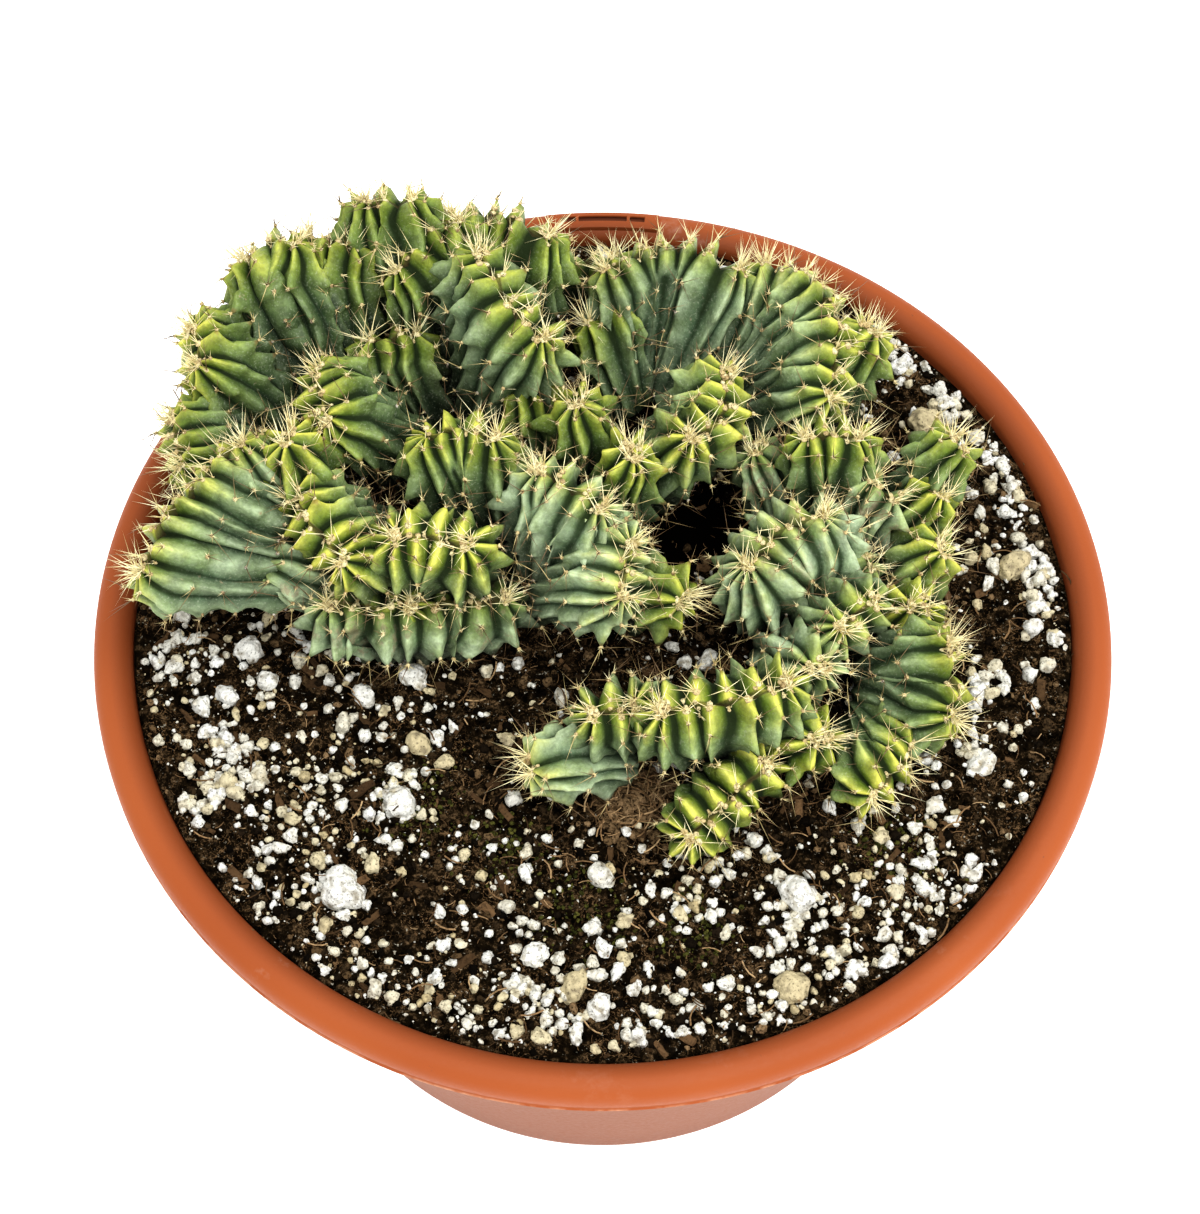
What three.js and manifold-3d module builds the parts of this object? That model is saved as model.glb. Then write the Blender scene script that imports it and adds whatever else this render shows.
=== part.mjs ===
// A crested blue candle cactus (Myrtillocactus geometrizans, crested form) potted in a
// round terracotta-coloured plastic bowl, in a dark peat mix with white perlite.
// Millimetres, +Z up. The origin is the centre of the bowl's foot; the rim's label panel
// lies at the back, towards +Y, and the crests stand at the back and left of the bowl.
import * as THREE from "three";
import { mergeVertices } from "three/addons/utils/BufferGeometryUtils.js";
import Module from "manifold-3d";

const wasm = await Module();
wasm.setup();

// Driving dimensions of the bowl
const rimRadius = 127; // a 10 inch bowl
const bowlHeight = 150;
const footRadius = 85;
const wall = 2.4;
const bowlFloor = 3.4;
const lipWidth = 10;
const lipHeight = 8.5;
const bowlSides = 48;
const drainHoles = 4;
const drainRadius = 6;
const drainCircle = 52;
const panel = { length: 30, depth: 5.4, height: 2.6, inset: 5, raised: 0.6 };
const slot = { length: 22.5, width: 1.5, depth: 1.2, offset: 0.4 };

// Driving dimensions of the soil and its perlite
const soilLevel = 146;
const soilGap = 0.35; // play between the soil and the bowl, and round each stem
const soilRelief = 0.5;
const soilRings = [30, 62, 92];
const grainCount = 34;
const grainReach = 112; // how far from the middle a grain lies
const grainSize = [4, 6.6];

// Driving dimensions of the crests
const stemFloor = soilLevel + 0.75; // the crests' undersides, just above the soil
const stemDepth = 13; // how far each stem reaches into its hole
const stemGap = 0.4; // between crests of two stems that press together
const rootRadius = 7; // of a crest, where it leaves its stem
const rootSpread = 0.2; // a root's length, as a share of the growing line's
const leanShare = 0.7; // how far a crest's ends turn upright instead of fanning out
const ribPitch = 9.3;
const domeShare = 0.9; // height of a crest's round top, in half thicknesses
const domeAngle = 45; // of the last row of teeth before the growing line
const ribDepth = 2.3;
const toothHeight = 1.5;
const shortCrest = 28; // a crest that is no longer has one row of teeth less
const headWidth = 2.4; // length of the growing line of a round head
const spineBase = 0.75;
const spineSpacing = 10;
const spineLength = [8.5, 13.5];
const spineSunk = 1.8;

// Small helpers
const vec = (p) => new THREE.Vector3(...p);
// A repeatable value from 0 to 1 for a pair of numbers.
const chance = (i, seed) => {
  const x = Math.sin(i * 12.9898 + seed * 78.233 + 4.1) * 43758.5453;
  return x - Math.floor(x);
};
const between = ([low, high], share) => low + (high - low) * share;

// A closed solid from a geometry whose vertices are shared.
function solid(geometry) {
  const g = geometry.clone();
  g.deleteAttribute("normal");
  g.deleteAttribute("uv");
  const m = mergeVertices(g, 1e-4);
  return new wasm.Manifold(new wasm.Mesh({
    numProp: 3,
    vertProperties: new Float32Array(m.attributes.position.array),
    triVerts: new Uint32Array(m.index.array),
  }));
}

// A solid from loops of points with the same count. The first loop is closed by a fan of
// triangles, and so is the last, unless a ridge line closes it like a roof: `under` names
// the point of the ridge that each point of the last loop slopes up to.
function loft(loops, ridge = [], under = null) {
  const count = loops[0].length;
  const position = [];
  const index = [];
  for (const p of [...loops.flat(), ...ridge]) position.push(p.x, p.y, p.z);
  for (let i = 0; i + 1 < loops.length; i++) {
    for (let j = 0; j < count; j++) {
      const a = i * count + j;
      const b = i * count + (j + 1) % count;
      index.push(a, b, b + count, a, b + count, a + count);
    }
  }
  const last = (loops.length - 1) * count;
  for (let k = 1; k + 1 < count; k++) {
    index.push(0, k + 1, k);
    if (!under) index.push(last, last + k, last + k + 1);
  }
  for (let j = 0; under && j < count; j++) {
    const [a, b] = [last + j, last + (j + 1) % count];
    const [c, d] = [under(j), under((j + 1) % count)].map((k) => last + count + k);
    index.push(a, b, c);
    if (c !== d) index.push(b, d, c);
  }
  const g = new THREE.BufferGeometry();
  g.setAttribute("position", new THREE.Float32BufferAttribute(position, 3));
  g.setIndex(index);
  return solid(g);
}

function placed(geometry, x, y, z) {
  return solid(geometry.translate(x, y, z));
}

// An upright round bar between two heights.
function bar(radius, x, y, low, high, sides = 12) {
  const g = new THREE.CylinderGeometry(radius, radius, high - low, sides);
  return placed(g.rotateX(Math.PI / 2), x, y, (low + high) / 2);
}

const largest = (m) => m.decompose().sort((a, b) => b.volume() - a.volume())[0];
const joined = (list) => list.reduce((a, b) => a.add(b));

// The bowl
const mouth = rimRadius - lipWidth; // inner edge of the rim
const wallTop = bowlHeight - lipHeight;
const wallAt = (z) => footRadius + (mouth + wall - footRadius) * z / wallTop;

function bowl() {
  const lip = rimRadius;
  const top = bowlHeight;
  const profile = [
    [0, 0],
    [footRadius - 5, 0],
    [wallAt(2.5) - 1.2, 0.9],
    [wallAt(3.5), 3.5],
    [wallAt(wallTop - 2), wallTop - 2],
    [mouth + wall + 0.5, top - 4],
    [lip - 2.6, top - 4],
    [lip - 1.9, wallTop],
    [lip, wallTop + 3.2],
    [lip - 0.7, top - 2.4],
    [lip - 3, top - 0.4],
    [lip - 5.6, top],
    [mouth + 1.4, top - 1.2],
    [mouth, soilLevel - 1],
    [wallAt(3.5) - wall, bowlFloor],
    [0, bowlFloor],
  ];
  const points = profile.map(([r, z]) => new THREE.Vector2(r, z));
  const shape = new THREE.LatheGeometry(points, bowlSides).rotateX(Math.PI / 2);
  let body = solid(shape);
  if (body.volume() < 0) throw new Error("the bowl's profile runs the wrong way");
  for (let i = 0; i < drainHoles; i++) {
    const a = (i + 0.5) / drainHoles * 2 * Math.PI;
    const [x, y] = [drainCircle * Math.cos(a), drainCircle * Math.sin(a)];
    body = body.subtract(bar(drainRadius, x, y, -1, 6, 10));
  }
  return labelPanel(body);
}

// The flat raised panel on the back of the rim, with its long narrow slot.
function labelPanel(body) {
  const plate = new THREE.BoxGeometry(panel.length, panel.depth, panel.height);
  const cut = new THREE.BoxGeometry(slot.length, slot.width, 2 * slot.depth);
  const y = rimRadius - panel.inset;
  const top = bowlHeight + panel.raised;
  const raised = body.add(placed(plate, 0, y, top - panel.height / 2));
  return raised.subtract(placed(cut, 0, y + slot.offset, top));
}

// The crests. Each one is a fold of the plant: it leaves the stem at `root`, widens like a fan and
// grows along `line`, a curve through a few points. Ribs run down both faces from that
// line and round its two ends.
const crest = (line, root, thick = 22, more = {}) => ({ line, root, thick, ...more });

const stems = {
  crest_back: {
    foot: [-40, 64, 13],
    crests: [
      crest([[-59, 94, 195], [-48, 95, 196]], [-49, 68, 150], 21),
      crest([[-52, 78, 189], [-46, 85, 193], [-37, 89, 194]], [-44, 62, 152], 19),
      crest([[-38, 94, 190], [-26, 94, 191], [-14, 89, 189]], [-27, 68, 150], 20),
      crest([[-30, 76, 197], [-23, 63, 199], [-15, 52, 196]], [-33, 54, 152], 23),
      crest([[-57, 62, 180], [-47, 64, 180]], [-42, 50, 150], 17),
      crest([[-69, 43, 194], [-69, 37, 195], [-67, 30, 194]], [-40, 36, 154], 22, { pitch: 7 }),
    ],
  },
  crest_left: {
    foot: [-62, 34, 14],
    crests: [
      crest([[-90, 80, 190], [-84, 83, 194], [-77, 82, 194]], [-62, 48, 150], 23),
      crest([[-74, 87, 191], [-63, 84, 190]], [-62, 52, 150], 17),
      crest([[-103, 62, 184], [-101, 51, 185]], [-66, 40, 152], 23),
      crest([[-107, 40, 178], [-104, 26, 179]], [-66, 34, 150], 22),
      crest([[-76, 24, 194]], [-66, 14, 156], 20),
      crest([[-90, 23, 190], [-97, 15, 189], [-104, 6, 186]], [-58, 10, 156], 22),
      crest([[-111, -4, 185]], [-62, 5, 165], 19),
    ],
  },
  crest_front_left: {
    foot: [-44, 6, 12],
    crests: [
      crest([[-74, 11, 188], [-70, 2, 189], [-62, -6, 187]], [-40, 10, 152], 20),
      crest([[-49, -2, 191], [-41, -2, 192], [-33, -4, 191]], [-40, 6, 152], 22),
      crest([[-48, -10, 173]], [-46, -2, 158], 12),
      crest([[-66, -9, 171], [-45, -9, 172], [-24, -6, 169]], [-46, -5, 148], 22),
    ],
  },
  crest_centre: {
    foot: [-6, 16, 14],
    crests: [
      crest([[-42, 26, 192], [-34, 28, 194], [-26, 26, 192]], [-26, 12, 152], 23),
      crest([[-16, 17, 191], [-8, 13, 192], [0, 8, 189]], [-14, 4, 152], 23),
      crest([[7, -1, 184], [5, -12, 180]], [-16, 3, 158], 22),
      crest([[20, -6, 168]], [-2, 3, 156], 19),
      crest([[-6, 39, 188]], [-4, 28, 150], 20),
      crest([[-18, 48, 181]], [-9, 28, 150], 18),
      crest([[7, 24, 188]], [3, 20, 152], 17),
      crest([[31, 50, 182], [29, 37, 184], [23, 30, 184]], [10, 34, 154], 21),
    ],
  },
  crest_back_right: {
    foot: [22, 62, 13],
    crests: [
      crest([[1, 86, 177], [11, 91, 180], [24, 91, 181], [34, 85, 179]], [12, 66, 150], 20),
      crest([[-3, 76, 170], [2, 79, 172]], [8, 62, 150], 17),
      crest([[-9, 97, 168], [3, 97, 169]], [0, 78, 150], 17),
      crest(
        [[43, 88, 177], [52, 84, 179], [58, 74, 180], [60, 64, 179], [57, 48, 177]],
        [34, 58, 152], 20),
      crest([[68, 69, 175]], [56, 59, 150], 17),
    ],
  },
  crest_right: {
    foot: [54, 24, 10],
    crests: [
      crest([[51, 34, 180], [63, 35, 179]], [56, 26, 150], 18),
      crest([[38, 36, 171]], [44, 28, 150], 15),
      crest([[67, 26, 171], [72, 22, 169]], [62, 20, 150], 16),
    ],
  },
  crest_grey: {
    foot: [46, -4, 11],
    crests: [
      crest([[35, 0, 176], [43, 8, 179], [53, 13, 178]], [44, 2, 150], 28),
      crest([[62, 12, 168], [66, 5, 167]], [54, 4, 152], 16),
      crest([[51, -27, 172]], [42, -12, 152], 20),
      crest([[57, -17, 174], [64, -10, 174]], [50, -6, 152], 19),
    ],
  },
  crest_right_edge: {
    foot: [70, 8, 9],
    crests: [
      crest([[89, 39, 169]], [75, 29, 148], 20),
      crest([[84, 27, 165]], [73, 20, 148], 18),
      crest([[84, 12, 163]], [70, 8, 148], 20),
      crest([[77, -6, 165]], [70, -2, 148], 21),
      crest([[84, -17, 163], [86, -25, 162], [84, -33, 161]], [64, -20, 150], 21),
      crest([[75, -42, 158], [71, -49, 158], [65, -54, 157]], [62, -30, 150], 19),
    ],
  },
  crest_front: {
    foot: [26, -40, 10],
    crests: [
      crest([[-2, -39, 172], [7, -38, 174]], [8, -34, 152], 20),
      crest([[15, -41, 177], [30, -39, 179], [43, -34, 177]], [28, -36, 150], 23),
      crest([[-18, -47, 160]], [6, -41, 152], 18),
      crest([[21, -65, 158], [30, -57, 162], [39, -49, 163]], [31, -46, 150], 19),
      crest([[52, -42, 164]], [43, -36, 150], 20),
    ],
  },
};

// The curve that a crest grows along, and the frame at each point of it.
function growthLine({ line, root }) {
  const base = vec(root);
  let points = line.map(vec);
  if (points.length === 1) {
    const up = points[0].clone().sub(base).normalize();
    const side = up.cross(new THREE.Vector3(0.3, 0.2, 1)).setLength(headWidth / 2);
    points = [points[0].clone().sub(side), points[0].clone().add(side)];
  }
  const curve = new THREE.CatmullRomCurve3(points, false, "catmullrom", 0.5);
  const length = curve.getLength();
  const middle = curve.getPointAt(0.5);
  const at = (u) => {
    const point = curve.getPointAt(u);
    const along = curve.getTangentAt(u);
    const up = point.clone().sub(base).normalize();
    up.addScaledVector(along, -leanShare * up.dot(along)).normalize();
    const face = new THREE.Vector3().crossVectors(along, up).normalize();
    return { point, along, up, face };
  };
  return { at, length, middle, base };
}

// A crest as a solid: loops of skin from its base up to its growing line. Points alternate
// between the crest of a rib and the groove beside it. `grow` makes a plain larger copy
// with no ribs.
function crestSolid(c, seed, grow = 0) {
  const { at, length, middle, base } = growthLine(c);
  const half = c.thick / 2 + grow;
  const dome = half * domeShare;
  const quarter = Math.PI * half / 2;
  const girth = length + 2 * quarter;
  const ribs = Math.max(6, 2 * Math.round((girth - Math.PI * grow) / (c.pitch ?? ribPitch)));
  const along = (j) => {
    const q = (j <= ribs ? j : 2 * ribs - j) / ribs * girth;
    const turn = Math.min(q, girth - q, quarter) / half;
    return { u: THREE.MathUtils.clamp((q - quarter) / length, 0, 1), turn, late: q > girth / 2 };
  };
  // How far up the body, the angle over the dome in degrees, and how far teeth stand out.
  const levels = [[0, 0, 0], [0.55, 0, 1], [0.97, 0, 0], [1, domeAngle, 1]];
  if (middle.distanceTo(base) < shortCrest) levels.splice(1, 1);
  const loops = levels.map(([rise, angle, tooth]) => {
    const tilt = THREE.MathUtils.degToRad(angle);
    return Array.from({ length: 2 * ribs }, (_, j) => {
      const { u, turn, late } = along(j);
      const { point, along: tangent, up, face } = at(u);
      const out = face.clone().multiplyScalar((j <= ribs ? 1 : -1) * Math.sin(turn));
      out.addScaledVector(tangent, (late ? 1 : -1) * Math.cos(turn)).normalize();
      const normal = out.clone().multiplyScalar(Math.cos(tilt));
      normal.addScaledVector(up, Math.sin(tilt)).normalize();
      const skin = point.clone().addScaledVector(up, dome * (Math.sin(tilt) - 1));
      skin.addScaledVector(out, half * Math.cos(tilt));
      const low = base.clone().addScaledVector(point.clone().sub(middle), rootSpread);
      low.addScaledVector(out, rootRadius + grow);
      const p = low.lerp(skin, rise);
      const stand = toothHeight * (tooth - 0.45) * (0.7 + 0.6 * chance(j, seed));
      const groove = -ribDepth * (0.55 + 0.45 * rise) * Math.cos(tilt) ** 0.35;
      if (!grow && rise > 0) p.addScaledVector(normal, j % 2 ? groove : stand);
      return p;
    });
  });
  const steps = Math.round(length / ribPitch);
  const ridge = [];
  for (let k = 0; k <= steps; k++) {
    const { point, up } = at(steps ? k / steps : 0.5);
    ridge.push(point.clone().addScaledVector(up, grow));
  }
  return loft(loops, ridge, (j) => Math.round(along(j).u * steps));
}

// The body of a stem: its crests, fused, standing on a round foot in the soil.
function stemBody(stem, seed, grow = 0) {
  const parts = stem.crests.map((c, i) => crestSolid(c, seed * 20 + i, grow));
  const [x, y, r] = stem.foot;
  const low = soilLevel - stemDepth;
  const clip = placed(new THREE.BoxGeometry(400, 400, 100), 0, 0, stemFloor - 50 - grow);
  const crests = joined(parts).subtract(clip);
  return crests.add(bar(r + grow, x, y, low - grow, soilLevel + 10));
}

// Spines: slim three-sided needles standing in the wool along each growing line
function needle(from, direction, length) {
  const g = new THREE.ConeGeometry(spineBase, length, 3);
  g.translate(0, length / 2 - spineSunk, 0);
  const turn = new THREE.Quaternion();
  turn.setFromUnitVectors(new THREE.Vector3(0, 1, 0), direction.clone().normalize());
  return placed(g.applyQuaternion(turn), from.x, from.y, from.z);
}

function crestSpines(c, seed) {
  const { at, length } = growthLine(c);
  const half = c.thick / 2;
  const dome = half * domeShare;
  const span = length + 1.4 * half;
  const count = Math.max(3, Math.round(span / spineSpacing));
  const spines = [];
  for (let i = 0; i < count; i++) {
    const place = (i + 0.5) / count * span - 0.7 * half;
    const u = THREE.MathUtils.clamp(place / length, 0, 1);
    const past = place < 0 ? place : Math.max(0, place - length);
    const { point, along, up, face } = at(u);
    const side = i % 2 ? 1 : -1;
    const lean = 0.35 + 0.75 * chance(i, seed + 7);
    const direction = up.clone().addScaledVector(face, side * lean);
    direction.addScaledVector(along, past / half + 0.5 * (chance(i, seed + 3) - 0.5));
    direction.normalize();
    const from = point.clone().addScaledVector(up, -dome);
    const reach = half * direction.dot(face) ** 2 + dome * (1 - direction.dot(face) ** 2);
    from.addScaledVector(direction, reach - 1).addScaledVector(along, past * 0.4);
    spines.push(needle(from, direction, between(spineLength, chance(i, seed + 11))));
  }
  return spines;
}

// The soil, with its perlite
const soilHeight = (x, y) => soilLevel - 0.5
  + soilRelief * Math.sin(x * 0.11 + 1.3) * Math.cos(y * 0.09)
  + soilRelief * 0.5 * Math.sin(x * 0.23 + y * 0.19);

function soilBed() {
  const edge = mouth - soilGap - 0.2;
  const ring = (r, z) => Array.from({ length: bowlSides }, (_, i) => {
    const a = i / bowlSides * 2 * Math.PI;
    const p = new THREE.Vector3(r * Math.sin(a), r * Math.cos(a), 0);
    p.z = z ?? soilHeight(p.x, p.y);
    return p;
  });
  return loft([
    ...soilRings.map((r) => ring(r)),
    ring(edge),
    ring(edge, soilLevel - 3),
    ring(wallAt(bowlFloor) - wall - 1, bowlFloor + soilGap),
  ]);
}

// A lump of perlite: a squashed, turned low ball, half sunk.
function grain(x, y, size, seed) {
  const g = new THREE.OctahedronGeometry(size / 2);
  g.scale(1, 0.75 + 0.3 * chance(seed, 1), 0.7 + 0.2 * chance(seed, 2));
  g.rotateZ(6.3 * chance(seed, 3)).rotateX(0.5 * chance(seed, 4));
  return placed(g, x, y, soilHeight(x, y) + size * 0.16);
}

// The largest lumps, set by hand: x, y, size.
const lumps = [
  [-62, -74, 13], [-7, -98, 8], [-1, -103, 8], [-16, -90, 7], [-49, -51, 8],
  [-59, -21, 7], [-47, -15, 7], [46, -75, 9], [44, -98, 9], [92, -40, 7],
  [84, 58, 10], [104, 16, 8], [-88, -8, 7], [-83, -17, 6], [-45, -34, 6],
];

function perlite() {
  const grains = [...lumps];
  for (let i = 0; grains.length < grainCount; i++) {
    const r = grainReach * Math.sqrt(chance(i, 21));
    const a = 2 * Math.PI * chance(i, 22);
    const size = between(grainSize, chance(i, 23) ** 2);
    const [x, y] = [r * Math.cos(a), r * Math.sin(a)];
    const clear = grains.every((g) => Math.hypot(g[0] - x, g[1] - y) > 0.6 * (g[2] + size));
    if (clear) grains.push([x, y, size]);
  }
  return grains;
}

// A stem gives way to every stem named before it, with the gap between them.
function pressedStems() {
  const specs = Object.values(stems);
  const bodies = specs.map((stem, i) => stemBody(stem, i));
  const room = stemGap + 0.75 * toothHeight;
  const envelopes = specs.map((stem, i) => stemBody(stem, i, room));
  return bodies.map((body, i) => {
    let rest = body;
    for (let k = 0; k < i; k++) rest = rest.subtract(envelopes[k]).subtract(bodies[k]);
    return largest(rest);
  });
}

// The stems with their spines, without those that would run into another stem.
function spinedStems(grown) {
  return Object.values(stems).map(({ crests }, i) => {
    const others = joined(grown.filter((_, k) => k !== i));
    let body = grown[i];
    for (const s of crests.flatMap((c, k) => crestSpines(c, i * 20 + k))) {
      const free = s.intersect(others).isEmpty() && !s.intersect(body).isEmpty();
      if (free) body = body.add(s);
    }
    return body;
  });
}

// The soil with a hole for each stem, and the grains that lie clear of the stems.
function plantedSoil(grown) {
  const plants = joined(grown);
  let bed = soilBed();
  for (const { foot: [x, y, r] } of Object.values(stems)) {
    const low = soilLevel - stemDepth - soilGap;
    bed = bed.subtract(bar(r + soilGap, x, y, low, soilLevel + 5));
  }
  perlite().forEach(([x, y, size], i) => {
    const g = grain(x, y, size, i);
    if (g.intersect(plants).isEmpty()) bed = bed.add(g);
  });
  return largest(bed);
}

// Assembly
const finish = (color, roughness) => new THREE.MeshStandardMaterial({
  color, roughness, metalness: 0,
});
const bowlPlastic = finish(0xc2693d, 0.5);
const pottingMix = finish(0x2e231c, 0.95);
const cactusSkin = finish(0x6b8a4e, 0.6);

function mesh(name, body, material) {
  const { vertProperties, triVerts } = body.getMesh();
  const g = new THREE.BufferGeometry();
  g.setAttribute("position", new THREE.BufferAttribute(vertProperties, 3));
  g.setIndex(new THREE.BufferAttribute(triVerts, 1));
  g.computeVertexNormals();
  const m = new THREE.Mesh(g, material);
  m.name = name;
  return m;
}

const grown = pressedStems();
const spined = spinedStems(grown);
const group = new THREE.Group();
group.add(mesh("pot", bowl(), bowlPlastic));
group.add(mesh("soil", plantedSoil(grown), pottingMix));
Object.keys(stems).forEach((name, i) => group.add(mesh(name, spined[i], cactusSkin)));

export default group;
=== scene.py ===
import math

import bmesh
import bpy
import numpy as np
from mathutils import Matrix, Vector
from mathutils.bvhtree import BVHTree


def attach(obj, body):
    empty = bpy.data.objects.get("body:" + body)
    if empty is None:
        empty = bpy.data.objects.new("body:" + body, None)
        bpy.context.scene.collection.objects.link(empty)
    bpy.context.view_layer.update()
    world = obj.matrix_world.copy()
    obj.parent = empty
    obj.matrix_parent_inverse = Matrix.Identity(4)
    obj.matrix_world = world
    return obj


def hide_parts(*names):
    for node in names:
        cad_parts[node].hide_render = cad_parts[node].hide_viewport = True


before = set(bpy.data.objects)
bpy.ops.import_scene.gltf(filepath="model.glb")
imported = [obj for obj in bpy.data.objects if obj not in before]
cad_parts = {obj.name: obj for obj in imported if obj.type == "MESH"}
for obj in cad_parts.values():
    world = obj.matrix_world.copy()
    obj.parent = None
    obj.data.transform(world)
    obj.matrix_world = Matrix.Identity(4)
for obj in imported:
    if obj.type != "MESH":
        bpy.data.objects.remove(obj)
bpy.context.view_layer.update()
mm = 0.001

# Small maths that several pieces share

def unit(v):
    return v / np.maximum(np.linalg.norm(v, axis=-1, keepdims=True), 1e-9)


def smooth(x):
    t = np.clip(x, 0, 1)
    return t * t * (3 - 2 * t)


def chance(i, seed):  # a repeatable value from 0 to 1
    x = np.sin(np.asarray(i) * 12.9898 + seed * 78.233 + 4.1) * 43758.5453
    return x - np.floor(x)


def lattice(cell, seed):  # a repeatable value at each whole-number place
    x, y, z = (cell[..., k].astype(np.int64) for k in range(3))
    h = (x * 73856093) ^ (y * 19349663) ^ (z * 83492791) ^ (seed * 2654435761)
    h = (h ^ (h >> 13)) * 1274126177
    return ((h ^ (h >> 16)) & 0xFFFF) / 65535.0


def cloud(points, size, seed=0, octaves=1):  # soft noise from -1 to 1, patches of that size
    total = np.zeros(np.shape(points)[:-1])
    for k in range(octaves):
        p = np.asarray(points) * (2 ** k / size) + 17.3 * k
        low = np.floor(p)
        f = smooth(p - low)
        value = 0
        for corner in np.ndindex(2, 2, 2):
            c = np.array(corner)
            share = np.prod(np.where(c, f, 1 - f), axis=-1)
            value = value + share * lattice(low + c, seed + 7 * k)
        total += (2 * value - 1) * 0.5 ** k
    return total


def smoothFaces(mesh):
    mesh.polygons.foreach_set("use_smooth", [True] * len(mesh.polygons))


def linked(thing):
    bpy.context.scene.collection.objects.link(thing)
    return thing


def meshObject(name, vertices, faces, attributes=None):  # vertices in millimetres
    mesh = bpy.data.meshes.new(name)
    mesh.from_pydata((np.asarray(vertices) * mm).tolist(), [], faces)
    mesh.update()
    for key, values in (attributes or {}).items():
        values = np.asarray(values, np.float32)
        kind, field = ("FLOAT", "value") if values.ndim == 1 else ("FLOAT_VECTOR", "vector")
        mesh.attributes.new(key, kind, "POINT").data.foreach_set(field, values.ravel())
    smoothFaces(mesh)
    return linked(bpy.data.objects.new(name, mesh))


def ringFaces(rings, around):  # squares between closed rings of points
    i, k = np.meshgrid(np.arange(rings - 1), np.arange(around), indexing="ij")
    n = (k + 1) % around
    corners = [i * around + k, i * around + n, (i + 1) * around + n, (i + 1) * around + k]
    return np.stack(corners, -1).reshape(-1, 4)


def fanFaces(centre, first, around, flip=False):  # triangles from a centre to a ring
    near, far = (1, 0) if flip else (0, 1)
    return [[centre, first + (k + near) % around, first + (k + far) % around]
            for k in range(around)]


# Node trees: Link wraps a socket so that maths on it reads as plain arithmetic, and
# Graph.node makes any other node from its type, settings and inputs.

class Link:
    def __init__(self, graph, socket):
        self.graph = graph
        self.socket = socket

    def maths(self, operation, *others):
        values = dict(enumerate((self, *others)))
        return self.graph.node("ShaderNodeMath", values, operation=operation)

    def __add__(self, other):
        return self.maths("ADD", other)

    def __sub__(self, other):
        return self.maths("SUBTRACT", other)

    def __mul__(self, other):
        return self.maths("MULTIPLY", other)

    def __truediv__(self, other):
        return self.maths("DIVIDE", other)

    def __pow__(self, other):
        return self.maths("POWER", other)

    def __rsub__(self, other):
        return (self * -1.0) + other

    def __rtruediv__(self, other):
        return (self ** -1.0) * other

    def bell(self, width):  # 1 at nought, falling away smoothly on both sides
        share = self / width
        return (share * share * -1.0).maths("EXPONENT")

    __radd__ = __add__
    __rmul__ = __mul__


class Graph:
    def __init__(self, tree):
        self.tree = tree

    def node(self, kind, inputs=None, out=0, stops=None, **settings):
        made = self.tree.nodes.new(kind)
        for key, value in settings.items():
            setattr(made, key, value)
        if stops:
            ramp = made.color_ramp
            while len(ramp.elements) < len(stops):
                ramp.elements.new(1)
            for element, (place, shade) in zip(ramp.elements, stops):
                element.position = place
                element.color = (*shade, 1)
        for key, value in (inputs or {}).items():
            sources = value if isinstance(value, list) else [value]
            if not isinstance(sources[0], Link):
                made.inputs[key].default_value = value
                continue
            for source in sources:
                self.tree.links.new(source.socket, made.inputs[key])
        return Link(self, made.outputs[out])

    def span(self, value, low, high, start=0.0, end=1.0, kind="LINEAR"):
        return self.node("ShaderNodeMapRange", {
            "Value": value, "From Min": low, "From Max": high, "To Min": start,
            "To Max": end}, interpolation_type=kind)

    def vectors(self, operation, *values, out=0):
        return self.node("ShaderNodeVectorMath", dict(enumerate(values)), out,
                         operation=operation)


class Finish(Graph):  # a material, with what never varies set on the shader's own sockets
    def __init__(self, name, **fixed):
        self.material = bpy.data.materials.new(name)
        self.material.use_nodes = True
        super().__init__(self.material.node_tree)
        self.shader = self.tree.nodes["Principled BSDF"]
        for key, value in fixed.items():
            self.shader.inputs[key.replace("_", " ")].default_value = value
        self.place = self.node("ShaderNodeTexCoord", out="Object")

    def attribute(self, name, out="Fac"):
        return self.node("ShaderNodeAttribute", out=out, attribute_name=name)

    # Soft noise on Object coordinates, its scale in patches per metre, or on another vector.
    def noise(self, scale, detail=3.0, rough=0.55, stretch=None, seed=0.0, on=None):
        vector = on or self.place
        if stretch or seed:
            vector = self.node("ShaderNodeMapping", {
                "Vector": vector, "Location": (seed, seed * 0.7, seed * 0.3),
                "Scale": stretch or (1, 1, 1)})
        return self.node("ShaderNodeTexNoise", {
            "Vector": vector, "Scale": scale, "Detail": detail, "Roughness": rough})

    def ramp(self, factor, *stops):
        return self.node("ShaderNodeValToRGB", {0: factor}, stops=stops)

    def mix(self, a, b, factor, blend="MIX"):
        a, b = ((*c, 1) if isinstance(c, tuple) else c for c in (a, b))
        return self.node("ShaderNodeMix", {0: factor, 6: a, 7: b}, out=2,
                         data_type="RGBA", blend_type=blend)

    def feed(self, socket, value):
        self.tree.links.new(value.socket, self.shader.inputs[socket])

    def bump(self, height, distance, strength=1.0):
        self.feed("Normal", self.node("ShaderNodeBump", {
            "Strength": strength, "Distance": distance, "Height": height}))


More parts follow.
